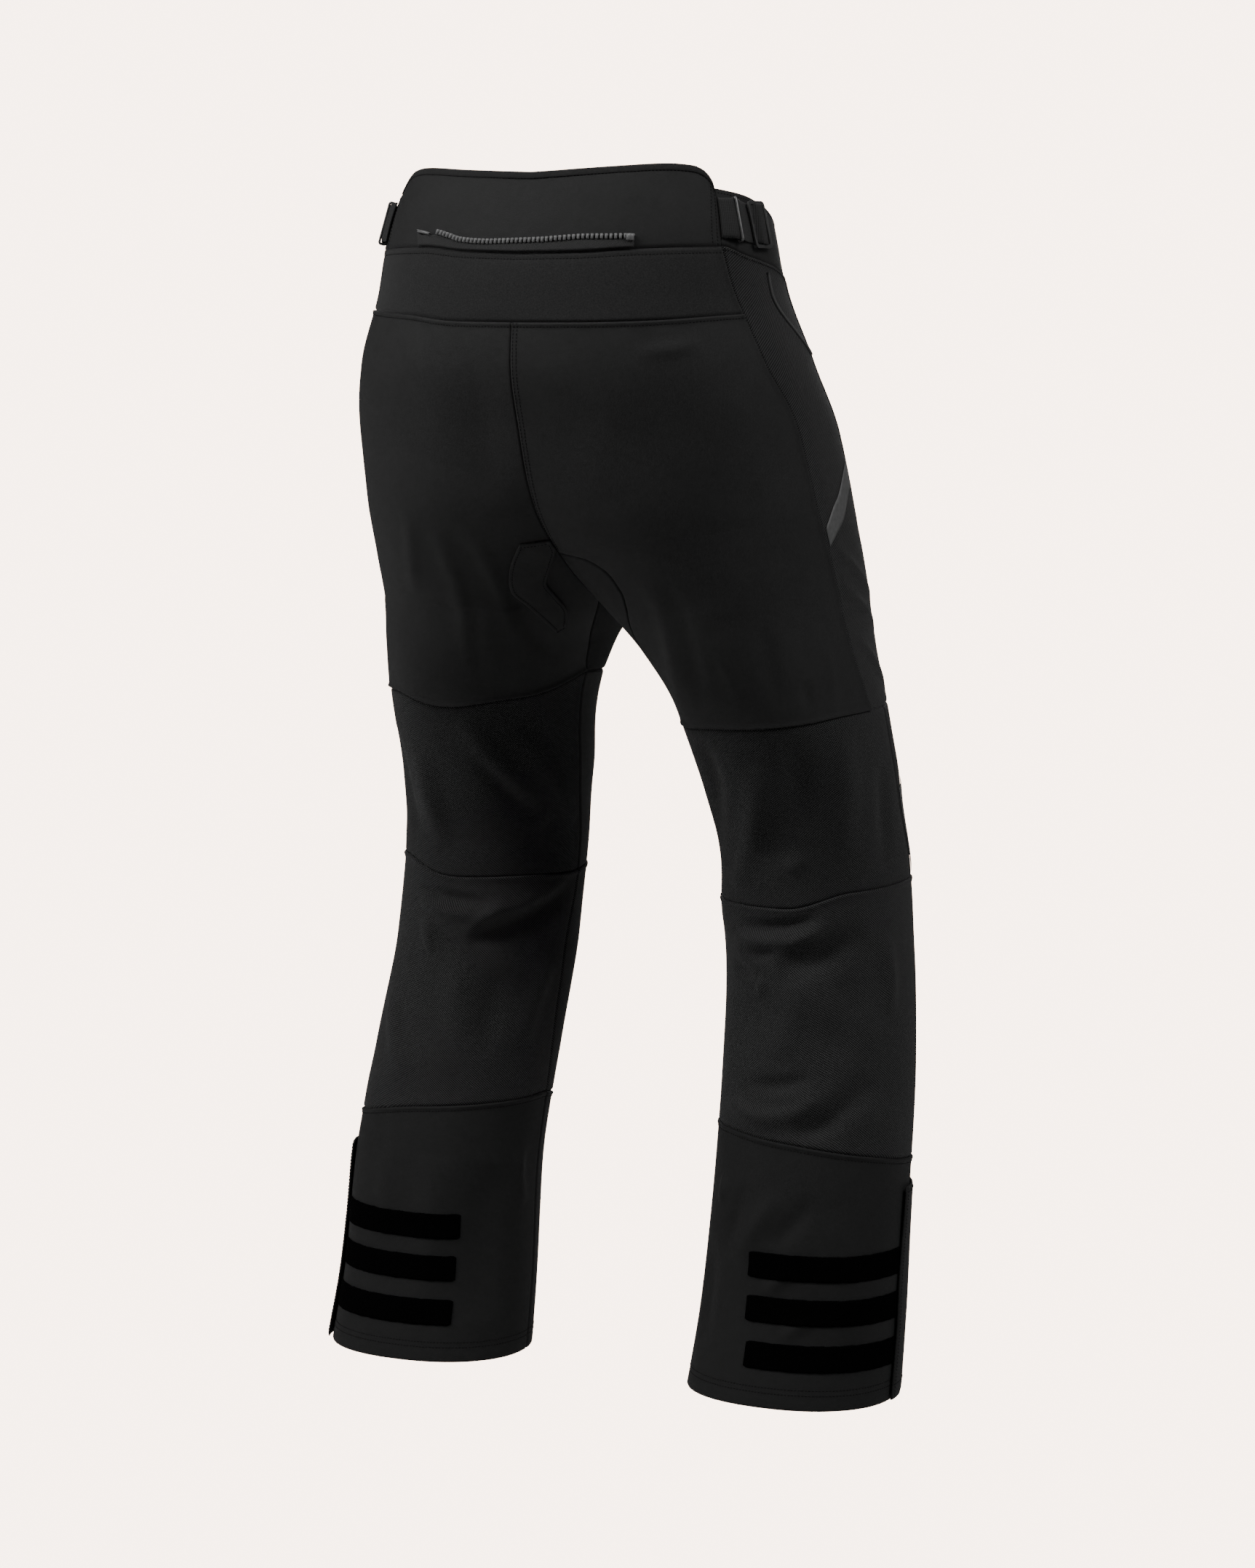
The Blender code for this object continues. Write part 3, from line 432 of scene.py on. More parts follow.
def smooth(table, column, at):
    """Reads a table by a curve through its rows that never overshoots them."""
    rows = np.array(table, float)
    rows = rows[np.argsort(rows[:, 0])]
    xs, ys = rows[:, 0], rows[:, column]
    step = np.diff(xs)
    rise = np.diff(ys) / step
    slope = np.concatenate([rise[:1], np.zeros(len(xs) - 2), rise[-1:]])
    for i in range(1, len(xs) - 1):
        if rise[i - 1] * rise[i] > 0:
            before = 2 * step[i] + step[i - 1]
            after = step[i] + 2 * step[i - 1]
            slope[i] = (before + after) / (before / rise[i - 1] + after / rise[i])
    at = np.clip(np.asarray(at, float), xs[0], xs[-1])
    k = np.clip(np.searchsorted(xs, at) - 1, 0, len(xs) - 2)
    s = (at - xs[k]) / step[k]
    start = (1 + 2 * s) * (1 - s) ** 2 * ys[k] + s * (1 - s) ** 2 * step[k] * slope[k]
    end = s * s * (3 - 2 * s) * ys[k + 1] + s * s * (s - 1) * step[k] * slope[k + 1]
    return start + end


def level(table, side, turn):
    """Height of a level seam at a turn, on the leg of that side."""
    turn = np.asarray(turn, float)
    around = np.where(turn > 1, turn - 1, turn)
    return smooth(table, 1 if side > 0 else 2, around)


def upright(table, side, z):
    """Turn of an upright seam at a height."""
    return smooth(table, 1 if side > 0 else 2, z)


def meet(across, down, side, guess):
    """Where a level seam and an upright seam cross, as turn and z."""
    z = guess
    for _ in range(MEET_ROUNDS):
        turn = float(upright(down, side, z))
        z = float(level(across, side, turn))
    return turn, z


def ring(angle, z):
    """Point of the left half's form, at an angle that starts from the inner side and passes the front."""
    inner, outer, front, back, power = (smooth(SECTIONS, i, z) for i in range(1, 6))
    cos, sin = np.cos(angle), np.sin(angle)
    x = (outer + inner) / 2 - (outer - inner) / 2 * np.sign(cos) * np.abs(cos) ** (2 / power)
    y = (front + back) / 2 - (back - front) / 2 * np.sign(sin) * np.abs(sin) ** (2 / power)
    return np.stack([x, y, z + 0 * x], -1)


def angle_of(turn, z):
    """Angle for a turn. Above the crotch the half stops at the middle plane."""
    inner, outer, power = (smooth(SECTIONS, i, z) for i in (1, 2, 5))
    ratio = np.clip((outer + inner) / (outer - inner), -1, 1)
    cut = np.where(inner < 0, np.arccos(np.sign(ratio) * np.abs(ratio) ** (power / 2)), 0)
    return cut + (2 * np.pi - 2 * cut) * turn


def turn_at(angle, z):
    """Turn for an angle, the inverse of angle_of."""
    cut = angle_of(0.0, z)
    return (angle - cut) / (2 * np.pi - 2 * cut)


def hill(x, width, place=0.0):
    """Bell curve of height 1 round a place."""
    return np.exp(-(((x - place) / width) ** 2))


def fold_height(side, turn, z):
    """Height that the broad folds add at a turn and z."""
    total = np.zeros(np.broadcast(turn, z).shape)
    for leg, middle, height_z, slant, length, width, height in FOLDS:
        if leg != side:
            continue
        around = ((turn - middle + 0.5) % 1 - 0.5) * KNEE_GIRTH
        up = z - height_z
        lean = math.radians(slant)
        along = around * math.cos(lean) + up * math.sin(lean)
        across = up * math.cos(lean) - around * math.sin(lean)
        total = total + height * hill(along, length) * hill(across, width)
    return total


def on_form(side, turn, z, lift=0.0):
    """Points of the cloth's outer face lifted by so many millimetres, and their outward normals.
    A turn over 1 on both halves at once runs on into the other half."""
    turn, z = np.broadcast_arrays(np.asarray(turn, float), np.asarray(z, float))
    if side == 0:
        over = turn > 1
        left, left_out = on_form(1, np.where(over, 1, turn), z, lift)
        right, right_out = on_form(-1, np.where(over, 2 - turn, 1), z, lift)
        pick = over[..., None]
        return np.where(pick, right, left), np.where(pick, right_out, left_out)
    angle = angle_of(turn, z)
    step = 2e-3
    around = ring(angle + step, z) - ring(angle - step, z)
    down = ring(angle, z - 0.5) - ring(angle, z + 0.5)
    out = np.cross(down, around)
    out /= np.linalg.norm(out, axis=-1, keepdims=True)
    mirror = np.array([side, 1, 1])
    height = fold_height(side, turn, z) + lift
    return (ring(angle, z) + out * height[..., None]) * mirror, out * mirror


def drawn(table, side, first, last):
    """A level seam from one turn to another, finely drawn."""
    turn = np.linspace(first, last, FINE)
    return np.stack([turn, level(table, side, turn)], -1)


def dropped(table, side, top, bottom):
    """An upright seam from one height to another, finely drawn."""
    z = np.linspace(top, bottom, FINE)
    return np.stack([upright(table, side, z), z], -1)


def middle_line(turn, top, bottom):
    """A seam down the middle plane, at turn 0 in front or 1 behind."""
    return np.stack([np.full(FINE, float(turn)), np.linspace(top, bottom, FINE)], -1)


def line_through(knots):
    """Finely drawn curve through knots."""
    knots = np.array(knots, float)
    at = np.linspace(0, 1, len(knots))
    fine = np.linspace(0, 1, FINE)
    return np.stack([smooth(np.stack([at, knots[:, k]], -1), 1, fine) for k in (0, 1)], -1)


def across_back(table, left, right):
    """A level seam over both halves of the back, from a turn on the left to one on the right."""
    right_half = drawn(table, -1, right, 1)[::-1][1:]
    return np.concatenate([drawn(table, 1, left, 1), right_half * (-1, 1) + (2, 0)])


def as_angles(line):
    """From turns to angles."""
    return np.stack([angle_of(line[..., 0], line[..., 1]), line[..., 1]], -1)


def as_turns(line):
    """Back from angles to turns. An angle over a full turn lies in front again."""
    angle, z = line[..., 0], line[..., 1]
    upper = turn_at(np.where(angle > 2 * np.pi, angle - 2 * np.pi, angle), z)
    turn = np.where(z > CROTCH_Z, np.clip(upper, 0, 1), angle / (2 * np.pi))
    return np.stack([turn, z], -1)


def thigh_seam(side, knots, middle_turn):
    """Inner thigh seam from the middle plane to the knee seam, as turns and heights."""
    foot = (knots[-1][0], float(level(KNEE_TOP, side, knots[-1][0] / 360)))
    fine = line_through(knots[:-1] + (foot,))
    turn = turn_at(np.radians(fine[:, 0]), fine[:, 1])
    turn[0] = middle_turn
    turn = np.where(fine[:, 1] > CROTCH_Z, np.clip(turn, 0, 1), turn)
    return np.stack([turn, fine[:, 1]], -1)


def lengths(points, axis=0):
    """Running length along one axis of a grid of points."""
    steps = np.linalg.norm(np.diff(points, axis=axis), axis=-1)
    start = np.zeros_like(np.take(steps, [0], axis))
    return np.concatenate([start, np.cumsum(steps, axis=axis)], axis=axis)


def points_along(run, at, source):
    """Rows of a drawn path at running lengths along it."""
    return np.stack([np.interp(at, run, source[..., k]) for k in range(source.shape[-1])], -1)


def cloth_at(side, line):
    """Points for a line of angles and heights, or of turns and heights where both halves are one."""
    line = line if side == 0 else as_turns(line)
    return on_form(side, line[..., 0], line[..., 1])[0]


def walk(side, line, shares):
    """Points at shares of the way along a finely drawn line, by length along the cloth."""
    run = lengths(cloth_at(side, line))
    return points_along(run, shares * run[-1], line)


def graded(side, lines, cell):
    """Shares from 0 to 1, close together near both ends, where seams need fine form."""
    length = np.mean([lengths(cloth_at(side, line))[-1] for line in lines])
    rim = np.array([row for row in SEAM_ROWS if row < length * 0.3])
    count = max(2, round((length - 2 * rim[-1]) / cell))
    middle = np.linspace(rim[-1], length - rim[-1], count + 1)[1:-1]
    return np.concatenate([rim, middle, length - rim[::-1]]) / length


def grid_inside(side, top, bottom, left, right, cell=CELL):
    """Grid inside four finely drawn lines that share their corners."""
    across, down = graded(side, (top, bottom), cell), graded(side, (left, right), cell)
    top, bottom = (walk(side, line, across) for line in (top, bottom))
    left, right = (walk(side, line, down) for line in (left, right))
    u, v = across[:, None, None], down[None, :, None]
    over = (1 - v) * top[:, None] + v * bottom[:, None]
    along = (1 - u) * left[None] + u * right[None]
    corners = (1 - u) * ((1 - v) * top[0] + v * bottom[0]) + u * ((1 - v) * top[-1] + v * bottom[-1])
    return over + along - corners


def between(side, *seams):
    """Grid of turns and heights inside four seams of one leg, spaced by angle so that it stays even."""
    return as_turns(grid_inside(side, *(as_angles(line) for line in seams)))


def rows_between(first, last, count):
    """Strip of grid points between two lines of equal length."""
    v = np.linspace(0, 1, count + 1)[None, :, None]
    return (1 - v) * first[:, None] + v * last[:, None]


def resampled(side, line, step):
    """Points of a line of turns and heights, so many millimetres apart."""
    run = lengths(on_form(side, line[:, 0], line[:, 1])[0])
    return points_along(run, np.linspace(0, run[-1], max(3, round(run[-1] / step))), line)


def wave(along, name, scale):
    """Uneven ripple from -1 to 1 along a length, its own for each name."""
    phase = sum(ord(letter) * (k + 1) for k, letter in enumerate(name)) * 0.37
    ripple = np.sin(along / scale + phase) + np.sin(along / (scale * 1.62) + 2.1 * phase)
    return (ripple + np.sin(along / (scale * 2.7) + 3.7 * phase)) / 3


def unevenness(points):
    """Slight lie of real cloth."""
    total = np.zeros(points.shape[:-1])
    for x, y, z, depth in LIE_WAVES:
        total += depth * np.sin(points[..., 0] / x + points[..., 1] / y + points[..., 2] / z)
    return total


def crease_height(side, points):
    """Ridges and troughs as listed, each fading towards its ends."""
    total = np.zeros(points.shape[:-1])
    for leg, *knots, width, height in CREASES:
        if side and leg != side:
            continue
        start, middle, end = np.array(knots, float).reshape(-1, 2)
        share = np.linspace(0, 1, CREASE_POINTS)
        t = share[:, None]
        bend = (1 - t) * (1 - 2 * t) * start + 4 * t * (1 - t) * middle + t * (2 * t - 1) * end
        line = on_form(leg, turn_at(np.radians(bend[:, 0]), bend[:, 1]), bend[:, 1])[0]
        near = ((points > line.min(0) - 3 * width) & (points < line.max(0) + 3 * width)).all(-1)
        if not near.any():
            continue
        at = points[near]
        best, along = np.full(len(at), 1e9), np.zeros(len(at))
        for k in range(len(line) - 1):
            way = line[k + 1] - line[k]
            part = np.clip(((at - line[k]) @ way) / (way @ way), 0, 1)
            gap = np.linalg.norm(at - line[k] - part[:, None] * way, axis=-1)
            closer = gap < best
            best = np.where(closer, gap, best)
            along = np.where(closer, share[k] + part * share[1], along)
        fade = np.sin(np.pi * np.clip(along, 0, 1)) ** 0.8
        total[near] += height * fade * hill(best, width)
    return total


def edge_form(style, gap):
    """Height of the cloth at a distance in from an edge, for how that edge is sewn."""
    return sum(height * hill(gap, width, place) for height, place, width in EDGE_FORMS[style])


def slab(outer, inner):
    """Closed wall of quads between two matching grids."""
    nu, nv = outer.shape[:2]
    verts = np.concatenate([outer.reshape(-1, 3), inner.reshape(-1, 3)])
    index = np.arange(nu * nv).reshape(nu, nv)
    a, b, c, d = index[:-1, :-1], index[1:, :-1], index[1:, 1:], index[:-1, 1:]
    quads = np.stack([a, b, c, d], -1).reshape(-1, 4)
    backs = quads[:, ::-1] + nu * nv
    rim = np.concatenate([index[:, 0], index[-1, 1:], index[-2::-1, -1], index[0, -2:0:-1]])
    after = np.roll(rim, -1)
    sides = np.stack([after, rim, rim + nu * nv, after + nu * nv], -1)
    return verts, np.concatenate([quads, backs, sides])


def volume_of(verts, quads):
    """Volume that the quads close in, below nothing where they face inward."""
    a, b, c, d = (verts[quads[:, k]] for k in range(4))
    return float((np.cross(a, b) * c).sum() + (np.cross(a, c) * d).sum()) / 6


def add_mesh(name, verts, quads, look, uv=None):
    """Adds a smooth mesh of quads, given in millimetres, its faces turned outward."""
    if volume_of(verts, quads) < 0:
        quads = quads[:, ::-1]
    mesh = bpy.data.meshes.new(name)
    mesh.vertices.add(len(verts))
    mesh.vertices.foreach_set("co", (verts * MM).astype(np.float32).ravel())
    mesh.loops.add(quads.size)
    mesh.loops.foreach_set("vertex_index", np.ascontiguousarray(quads, np.int32).ravel())
    mesh.polygons.add(len(quads))
    mesh.polygons.foreach_set("loop_start", np.arange(0, quads.size, 4, dtype=np.int32))
    mesh.polygons.foreach_set("use_smooth", np.ones(len(quads), bool))
    mesh.update(calc_edges=True)
    if uv is not None:
        layer = mesh.uv_layers.new(name="cloth")
        layer.uv.foreach_set("vector", uv[quads.ravel()].astype(np.float32).ravel())
    mesh.materials.append(look)
    piece = bpy.data.objects.new(name, mesh)
    bpy.context.scene.collection.objects.link(piece)
    return piece


def settle(piece, slot, *nodes):
    """The piece rides on the trousers and stands for these CAD nodes, which it hides. The slot is not used.
    """
    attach(piece, "root")
    if nodes:
        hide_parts(*nodes)


def area_of(points):
    """Area of a grid of points, from the mean sides of each cell."""
    steps_u = np.linalg.norm(np.diff(points, axis=0), axis=-1)
    steps_v = np.linalg.norm(np.diff(points, axis=1), axis=-1)
    return float((0.25 * (steps_u[:, :-1] + steps_u[:, 1:]) * (steps_v[:-1] + steps_v[1:])).sum())


class Cloth:
    """A piece of cloth on the form, with its outer face and how far each point is from each edge."""

    def __init__(self, name, side, grid, sewn, slot, wall=WALL, lift=0.0, dents=(), look=None):
        base, self.out = on_form(side, grid[..., 0], grid[..., 1], lift)
        run_u, run_v = lengths(base, 0), lengths(base, 1)
        self.gap = {
            "left": run_u,
            "right": run_u[-1:] - run_u,
            "top": run_v,
            "bottom": run_v[:, -1:] - run_v,
        }
        still = np.ones(base.shape[:-1])
        for edge in sewn:
            still *= 1 - CALM * hill(self.gap[edge], CALM_WIDTH)
        height = (crease_height(side, base) + unevenness(base)) * still
        for edge, style in sewn.items():
            height = height + edge_form(style.split()[0], self.gap[edge])
            if "stitched" in style:
                run = run_u if edge in ("top", "bottom") else run_v
                pucker = 0.2 * wave(run, name + edge, 2.4) - 0.3
                height = height + pucker * hill(self.gap[edge], PUCKER_WIDTH, SEAM_INSET)
        for edge, inset, width, depth in dents:
            height = height - depth * hill(self.gap[edge], width, inset)
        self.outer = base + self.out * height[..., None]
        inner = base - self.out * wall + self.out * (height * INNER_FOLLOWS)[..., None]
        on_middle = np.abs(base[..., 0]) < ON_MIDDLE
        self.outer[on_middle, 0], inner[on_middle, 0] = 0, 0
        uv = np.stack([run_u - run_u[len(run_u) // 2], run_v], -1).reshape(-1, 2)
        verts, quads = slab(self.outer, inner)
        self.piece = add_mesh(name + "_cloth", verts, quads, LOOKS[look or slot], np.concatenate([uv, uv]))
        settle(self.piece, slot, name)
        width, length = float(run_u[-1].max()), float(run_v[:, -1].max())
        self.cut = (width * MM, length * MM)
        self.area = min(area_of(base) * MM * MM, 0.999 * self.cut[0] * self.cut[1])

    def declare(self, held, rests_on):
        """Does nothing; how the sheet is held and what it rests on are not used."""

    def at_inset(self, edge, inset):
        """Points and outward ways along a line this far in from an edge."""
        flat = edge in ("top", "bottom")
        rows = self.gap[edge] if flat else self.gap[edge].T
        both = np.concatenate([self.outer, self.out], -1)
        both = both if flat else both.swapaxes(0, 1)
        found = []
        for row, place in zip(rows, both):
            order = np.argsort(row)
            found.append(points_along(row[order], inset, place[order]))
        found = np.array(found)
        return found[:, :3], found[:, 3:]

    def stitch(self, edge, inset=SEAM_INSET, first=0.0, last=1.0):
        """Topstitching along an edge, from one share of it to another."""
        points, outs = self.at_inset(edge, inset)
        sew(points, outs, first, last)
        return self


def sew(points, outs, first, last):
    """A row of stitches along a line on the cloth. Each is a short thread whose ends dip into it."""
    run = lengths(points)
    count = int((last - first) * run[-1] / STITCH_PITCH)
    if count < 1:
        return
    middle = first * run[-1] + (np.arange(count) + 0.5) * STITCH_PITCH
    rings = []
    for station, rise, fat in ((-0.5, -0.25, 0.55), (-0.3, 0.15, 1.0), (0.3, 0.15, 1.0), (0.5, -0.25, 0.55)):
        at = np.clip(middle + station * STITCH_LENGTH, 0, run[-1])
        place, out = points_along(run, at, points), points_along(run, at, outs)
        way = points_along(run, at + 0.3, points) - points_along(run, at - 0.3, points)
        across = np.cross(out, way / np.maximum(np.linalg.norm(way, axis=-1, keepdims=True), 1e-6))
        for c, s in ((1, 0), (0, 1), (-1, 0), (0, -1)):
            rings.append(place + out * rise + (across * c + out * s * 0.8) * STITCH_RADIUS * fat)
    THREAD.append(np.stack(rings, 1))


def block_quads(rings, count):
    """Faces of so many blocks, each a stack of rings of four points with closed ends."""
    one = [
        (r * 4 + k, r * 4 + (k + 1) % 4, r * 4 + 4 + (k + 1) % 4, r * 4 + 4 + k)
        for r in range(rings - 1)
        for k in range(4)
    ]
    last = 4 * rings - 4
    one += [(3, 2, 1, 0), (last, last + 1, last + 2, last + 3)]
    return (np.array(one)[None] + 4 * rings * np.arange(count)[:, None, None]).reshape(-1, 4)


def add_threads(name):
    """All the stitches sewn since the last call, as one joined mesh."""
    verts = np.concatenate(THREAD)
    THREAD.clear()
    quads = block_quads(4, len(verts))
    settle(add_mesh(name, verts.reshape(-1, 3), quads, LOOKS["thread"]), "binding")


def node(tree, kind, inputs=(), **settings):
    """Adds a shader node. An input is a value or another node's output."""
    made = tree.nodes.new("ShaderNode" + kind)
    for key, value in settings.items():
        setattr(made, key, value)
    for socket, value in dict(inputs).items():
        if isinstance(value, bpy.types.NodeSocket):
            tree.links.new(value, made.inputs[socket])
        else:
            made.inputs[socket].default_value = value
    return made


def grey(value):
    """Colour of an even grey."""
    return (value, value, value, 1)


def new_look(name, rough, sheen=0.0, metallic=0.0, specular=0.5):
    """A material with its even qualities set on its shader."""
    look = bpy.data.materials.new(name)
    look.use_nodes = True
    shader = look.node_tree.nodes["Principled BSDF"]
    for socket, value in (
        ("Roughness", rough),
        ("Sheen Weight", sheen),
        ("Metallic", metallic),
        ("Specular IOR Level", specular),
        ("Sheen Roughness", 0.5),
    ):
        shader.inputs[socket].default_value = value
    return look, look.node_tree, shader


def finish_look(tree, shader, colour, height, depth, rough=None):
    """Colour and bump from a look's nodes. Depth is in millimetres."""
    bump = node(tree, "Bump", {"Height": height, "Distance": depth * MM, "Strength": 1.0})
    tree.links.new(colour, shader.inputs["Base Color"])
    tree.links.new(bump.outputs["Normal"], shader.inputs["Normal"])
    if rough is not None:
        tree.links.new(rough, shader.inputs["Roughness"])


def ramp(tree, factor, stops):
    """Colour ramp over a factor. Stops hold a place and a grey."""
    made = node(tree, "ValToRGB", {"Fac": factor})
    elements = made.color_ramp.elements
    while len(elements) < len(stops):
        elements.new(0.5)
    for element, (place, value) in zip(elements, stops):
        element.position = place
        element.color = grey(value)
    return made.outputs["Color"]


def noise_of(tree, place, scale, detail=2.0, rough=0.5):
    """Cloudy noise, from the coordinates of a place."""
    inputs = {"Vector": place, "Scale": scale, "Detail": detail, "Roughness": rough}
    return node(tree, "TexNoise", inputs).outputs["Fac"]


def bands_of(tree, place, scale, direction):
    """Straight ribs across a direction, X or Y."""
    inputs = {"Vector": place, "Scale": scale}
    return node(tree, "TexWave", inputs, bands_direction=direction).outputs["Fac"]


def summed(tree, first, second, share=None):
    """First plus second, or plus a share of it."""
    if share is not None:
        second = node(tree, "Math", {0: second, 1: share}, operation="MULTIPLY").outputs[0]
    return node(tree, "Math", {0: first, 1: second}, operation="ADD").outputs[0]


def cloth_and_place(tree):
    """Coordinates along the cloth in millimetres, and in space in metres."""
    cloth = node(tree, "UVMap", uv_map="cloth").outputs["UV"]
    return cloth, node(tree, "TexCoord").outputs["Object"]


def woven_look(name, value, rough, sheen):
    """Plain weave with slight mottling."""
    look, tree, shader = new_look(name, rough, sheen, specular=0.35)
    cloth, place = cloth_and_place(tree)
    thread, mottle = 0.55, 0.18
    warp = bands_of(tree, cloth, WAVE_LENGTH / thread, "X")
    weft = bands_of(tree, cloth, WAVE_LENGTH / thread, "Y")
    weave = node(tree, "Math", {0: warp, 1: weft}, operation="MULTIPLY").outputs[0]
    cloudy = noise_of(tree, place, 42.0, 4.0, 0.62)
    fine = noise_of(tree, place, 900.0)
    mixed = summed(tree, cloudy, fine, 0.35)
    colour = ramp(tree, mixed, ((0.35, value * (1 - mottle)), (0.95, value * (1 + mottle))))
    finish_look(tree, shader, colour, summed(tree, weave, fine), 0.12)
    return look


def knit_look(name, value):
    """Knitted mesh: staggered rows of small dark holes between lighter yarn."""
    look, tree, shader = new_look(name, 0.82, 0.12, specular=0.3)
    cloth, place = cloth_and_place(tree)
    spread = {"Vector": cloth, "Scale": (0.6, 0.68, 1.0), "Rotation": (0, 0, math.pi / 4)}
    turned = node(tree, "Mapping", spread).outputs["Vector"]
    even_cells = {"Vector": turned, "Scale": 1.0, "Randomness": 0.0}
    away = node(tree, "TexVoronoi", even_cells, voronoi_dimensions="2D").outputs["Distance"]
    holes = {"Value": away, "From Min": 0.28, "From Max": 0.56}
    yarn = node(tree, "MapRange", holes, interpolation_type="SMOOTHSTEP").outputs["Result"]
    cloudy = noise_of(tree, place, 150.0, 3.0)
    fine = noise_of(tree, place, 1100.0)
    even = node(tree, "MapRange", {"Value": cloudy, "To Min": 0.82, "To Max": 1.18}).outputs["Result"]
    lit = node(tree, "Math", {0: yarn, 1: even}, operation="MULTIPLY").outputs[0]
    colour = ramp(tree, lit, ((0.0, value * 0.01), (0.35, value * 0.5), (1.0, value * 3.8)))
    finish_look(tree, shader, colour, summed(tree, yarn, fine, 0.25), 0.6)
    return look


def fuzzy_look(name, value, rough, sheen, scale, depth, specular=0.3):
    """Pile, fleece or another cloth without a clear weave."""
    look, tree, shader = new_look(name, rough, sheen, specular=specular)
    place = node(tree, "TexCoord").outputs["Object"]
    coarse = noise_of(tree, place, scale, 4.0, 0.7)
    fine = noise_of(tree, place, scale * 3.1)
    colour = ramp(tree, coarse, ((0.3, value * 0.55), (0.7, value * 1.4)))
    finish_look(tree, shader, colour, summed(tree, coarse, fine), depth)
    return look


def hard_look(name, value, rough, metallic=0.0, coat=0.0):
    """Moulded plastic or painted wire, with slight unevenness and wear."""
    look, tree, shader = new_look(name, rough, metallic=metallic)
    shader.inputs["Coat Weight"].default_value = coat
    place = node(tree, "TexCoord").outputs["Object"]
    cloudy = noise_of(tree, place, 260.0, 3.0)
    colour = ramp(tree, cloudy, ((0.3, value * 0.85), (0.75, value * 1.2)))
    worn = {"Value": cloudy, "To Min": rough - 0.08, "To Max": rough + 0.12}
    wear = node(tree, "MapRange", worn).outputs["Result"]
    finish_look(tree, shader, colour, noise_of(tree, place, 1300.0), 0.03, wear)
    return look


def ribbed_look(name, value, rough, pitch, slant=0.0):
    """Ribbed tape or webbing, its ribs across the first cloth axis, slanted for a twill."""
    look, tree, shader = new_look(name, rough, 0.1, specular=0.3)
    cloth, place = cloth_and_place(tree)
    turned = node(tree, "Mapping", {"Vector": cloth, "Rotation": (0, 0, slant)}).outputs["Vector"]
    ribs = bands_of(tree, turned, WAVE_LENGTH / pitch, "X")
    across = bands_of(tree, turned, 0.2 / pitch, "Y")
    height = summed(tree, summed(tree, ribs, across, 0.3), noise_of(tree, place, 900.0), 0.4)
    colour = ramp(tree, height, ((0.2, value * 0.6), (0.9, value * 1.25)))
    finish_look(tree, shader, colour, height, 0.18)
    return look


def overlay(name, side, grid, slot, thick, lift=0.4, edge_drop=0.35):
    """Piece that lies on a panel and follows its creases, and its flat size. The drop lowers its rim."""
    base, out = on_form(side, grid[..., 0], grid[..., 1])
    follow = crease_height(side, base) + unevenness(base)
    rim = np.zeros(base.shape[:2])
    rim[[0, -1]] = 1
    rim[:, [0, -1]] = 1
    top = base + out * (follow + lift + thick - edge_drop * rim)[..., None]
    below = base + out * (follow + lift)[..., None]
    run_u, run_v = lengths(base, 0), lengths(base, 1)
    uv = np.stack([run_u, run_v], -1).reshape(-1, 2)
    verts, quads = slab(top, below)
    piece = add_mesh(name + "_cloth", verts, quads, LOOKS[slot], np.concatenate([uv, uv]))
    settle(piece, slot, name)
    return piece, (float(run_u[-1].mean()) * MM, float(run_v[:, -1].mean()) * MM)


def waist_panels():
    """Both waistbands, the yoke and the binding."""
    edge = BACK_BAND_EDGE
    top = across_back(BACK_BAND_TOP, edge, edge)
    seam = across_back(BAND_SEAM, edge, edge)
    left, right = (np.linspace(top[k], seam[k], FINE) for k in (0, -1))
    grid = grid_inside(0, top, seam, left, right)
    sewn = {"top": "free", "bottom": "tuck", "left": "free", "right": "free"}
    dents = [(end, inset, 0.7, 0.3) for end in ("left", "right") for inset in (3.2, 8)]
    band = Cloth("waistband_back", 0, grid, sewn, "shell", BAND_WALL, dents=dents, look="band")
    band.stitch("top", 5.6)
    for side in ("left", "right"):
        band.stitch(side, 3.2, 0.06).stitch(side, 8, 0.06)
    band.declare("stretched", ["yoke_back"])
    foot = [meet(YOKE_SEAM, SIDE_SEAM, side, -60) for side in (1, -1)]
    bottom = across_back(YOKE_SEAM, foot[0][0], foot[1][0])
    left, right = (np.linspace(seam[k], bottom[k], FINE) for k in (0, -1))
    grid = grid_inside(0, seam, bottom, left, right)
    sewn = {"top": "tuck", "bottom": "tuck", "left": "lap", "right": "lap"}
    yoke = Cloth("yoke_back", 0, grid, sewn, "stretch", dents=(("top", 5.5, 1.0, 0.4),))
    yoke.stitch("top", 5.5)
    yoke.declare("stretched", ["seat_left", "seat_right"])
    for side, word in ((1, "left"), (-1, "right")):
        top = drawn(FRONT_BAND_TOP, side, 0, edge)
        seam = drawn(BAND_SEAM, side, 0, edge)
        grid = between(side, top, seam, *(np.linspace(top[k], seam[k], FINE) for k in (0, -1)))
        sewn = {"top": "free", "bottom": "tuck", "left": "free", "right": "free"}
        band = Cloth(f"waistband_front_{word}", side, grid, sewn, "shell", BAND_WALL, look="band")
        band.stitch("top", 4.0).stitch("left", 4.0)
        band.declare("stretched", [f"front_thigh_{word}", f"side_{word}"])
    waist_binding()
    add_threads("stitches_waist")


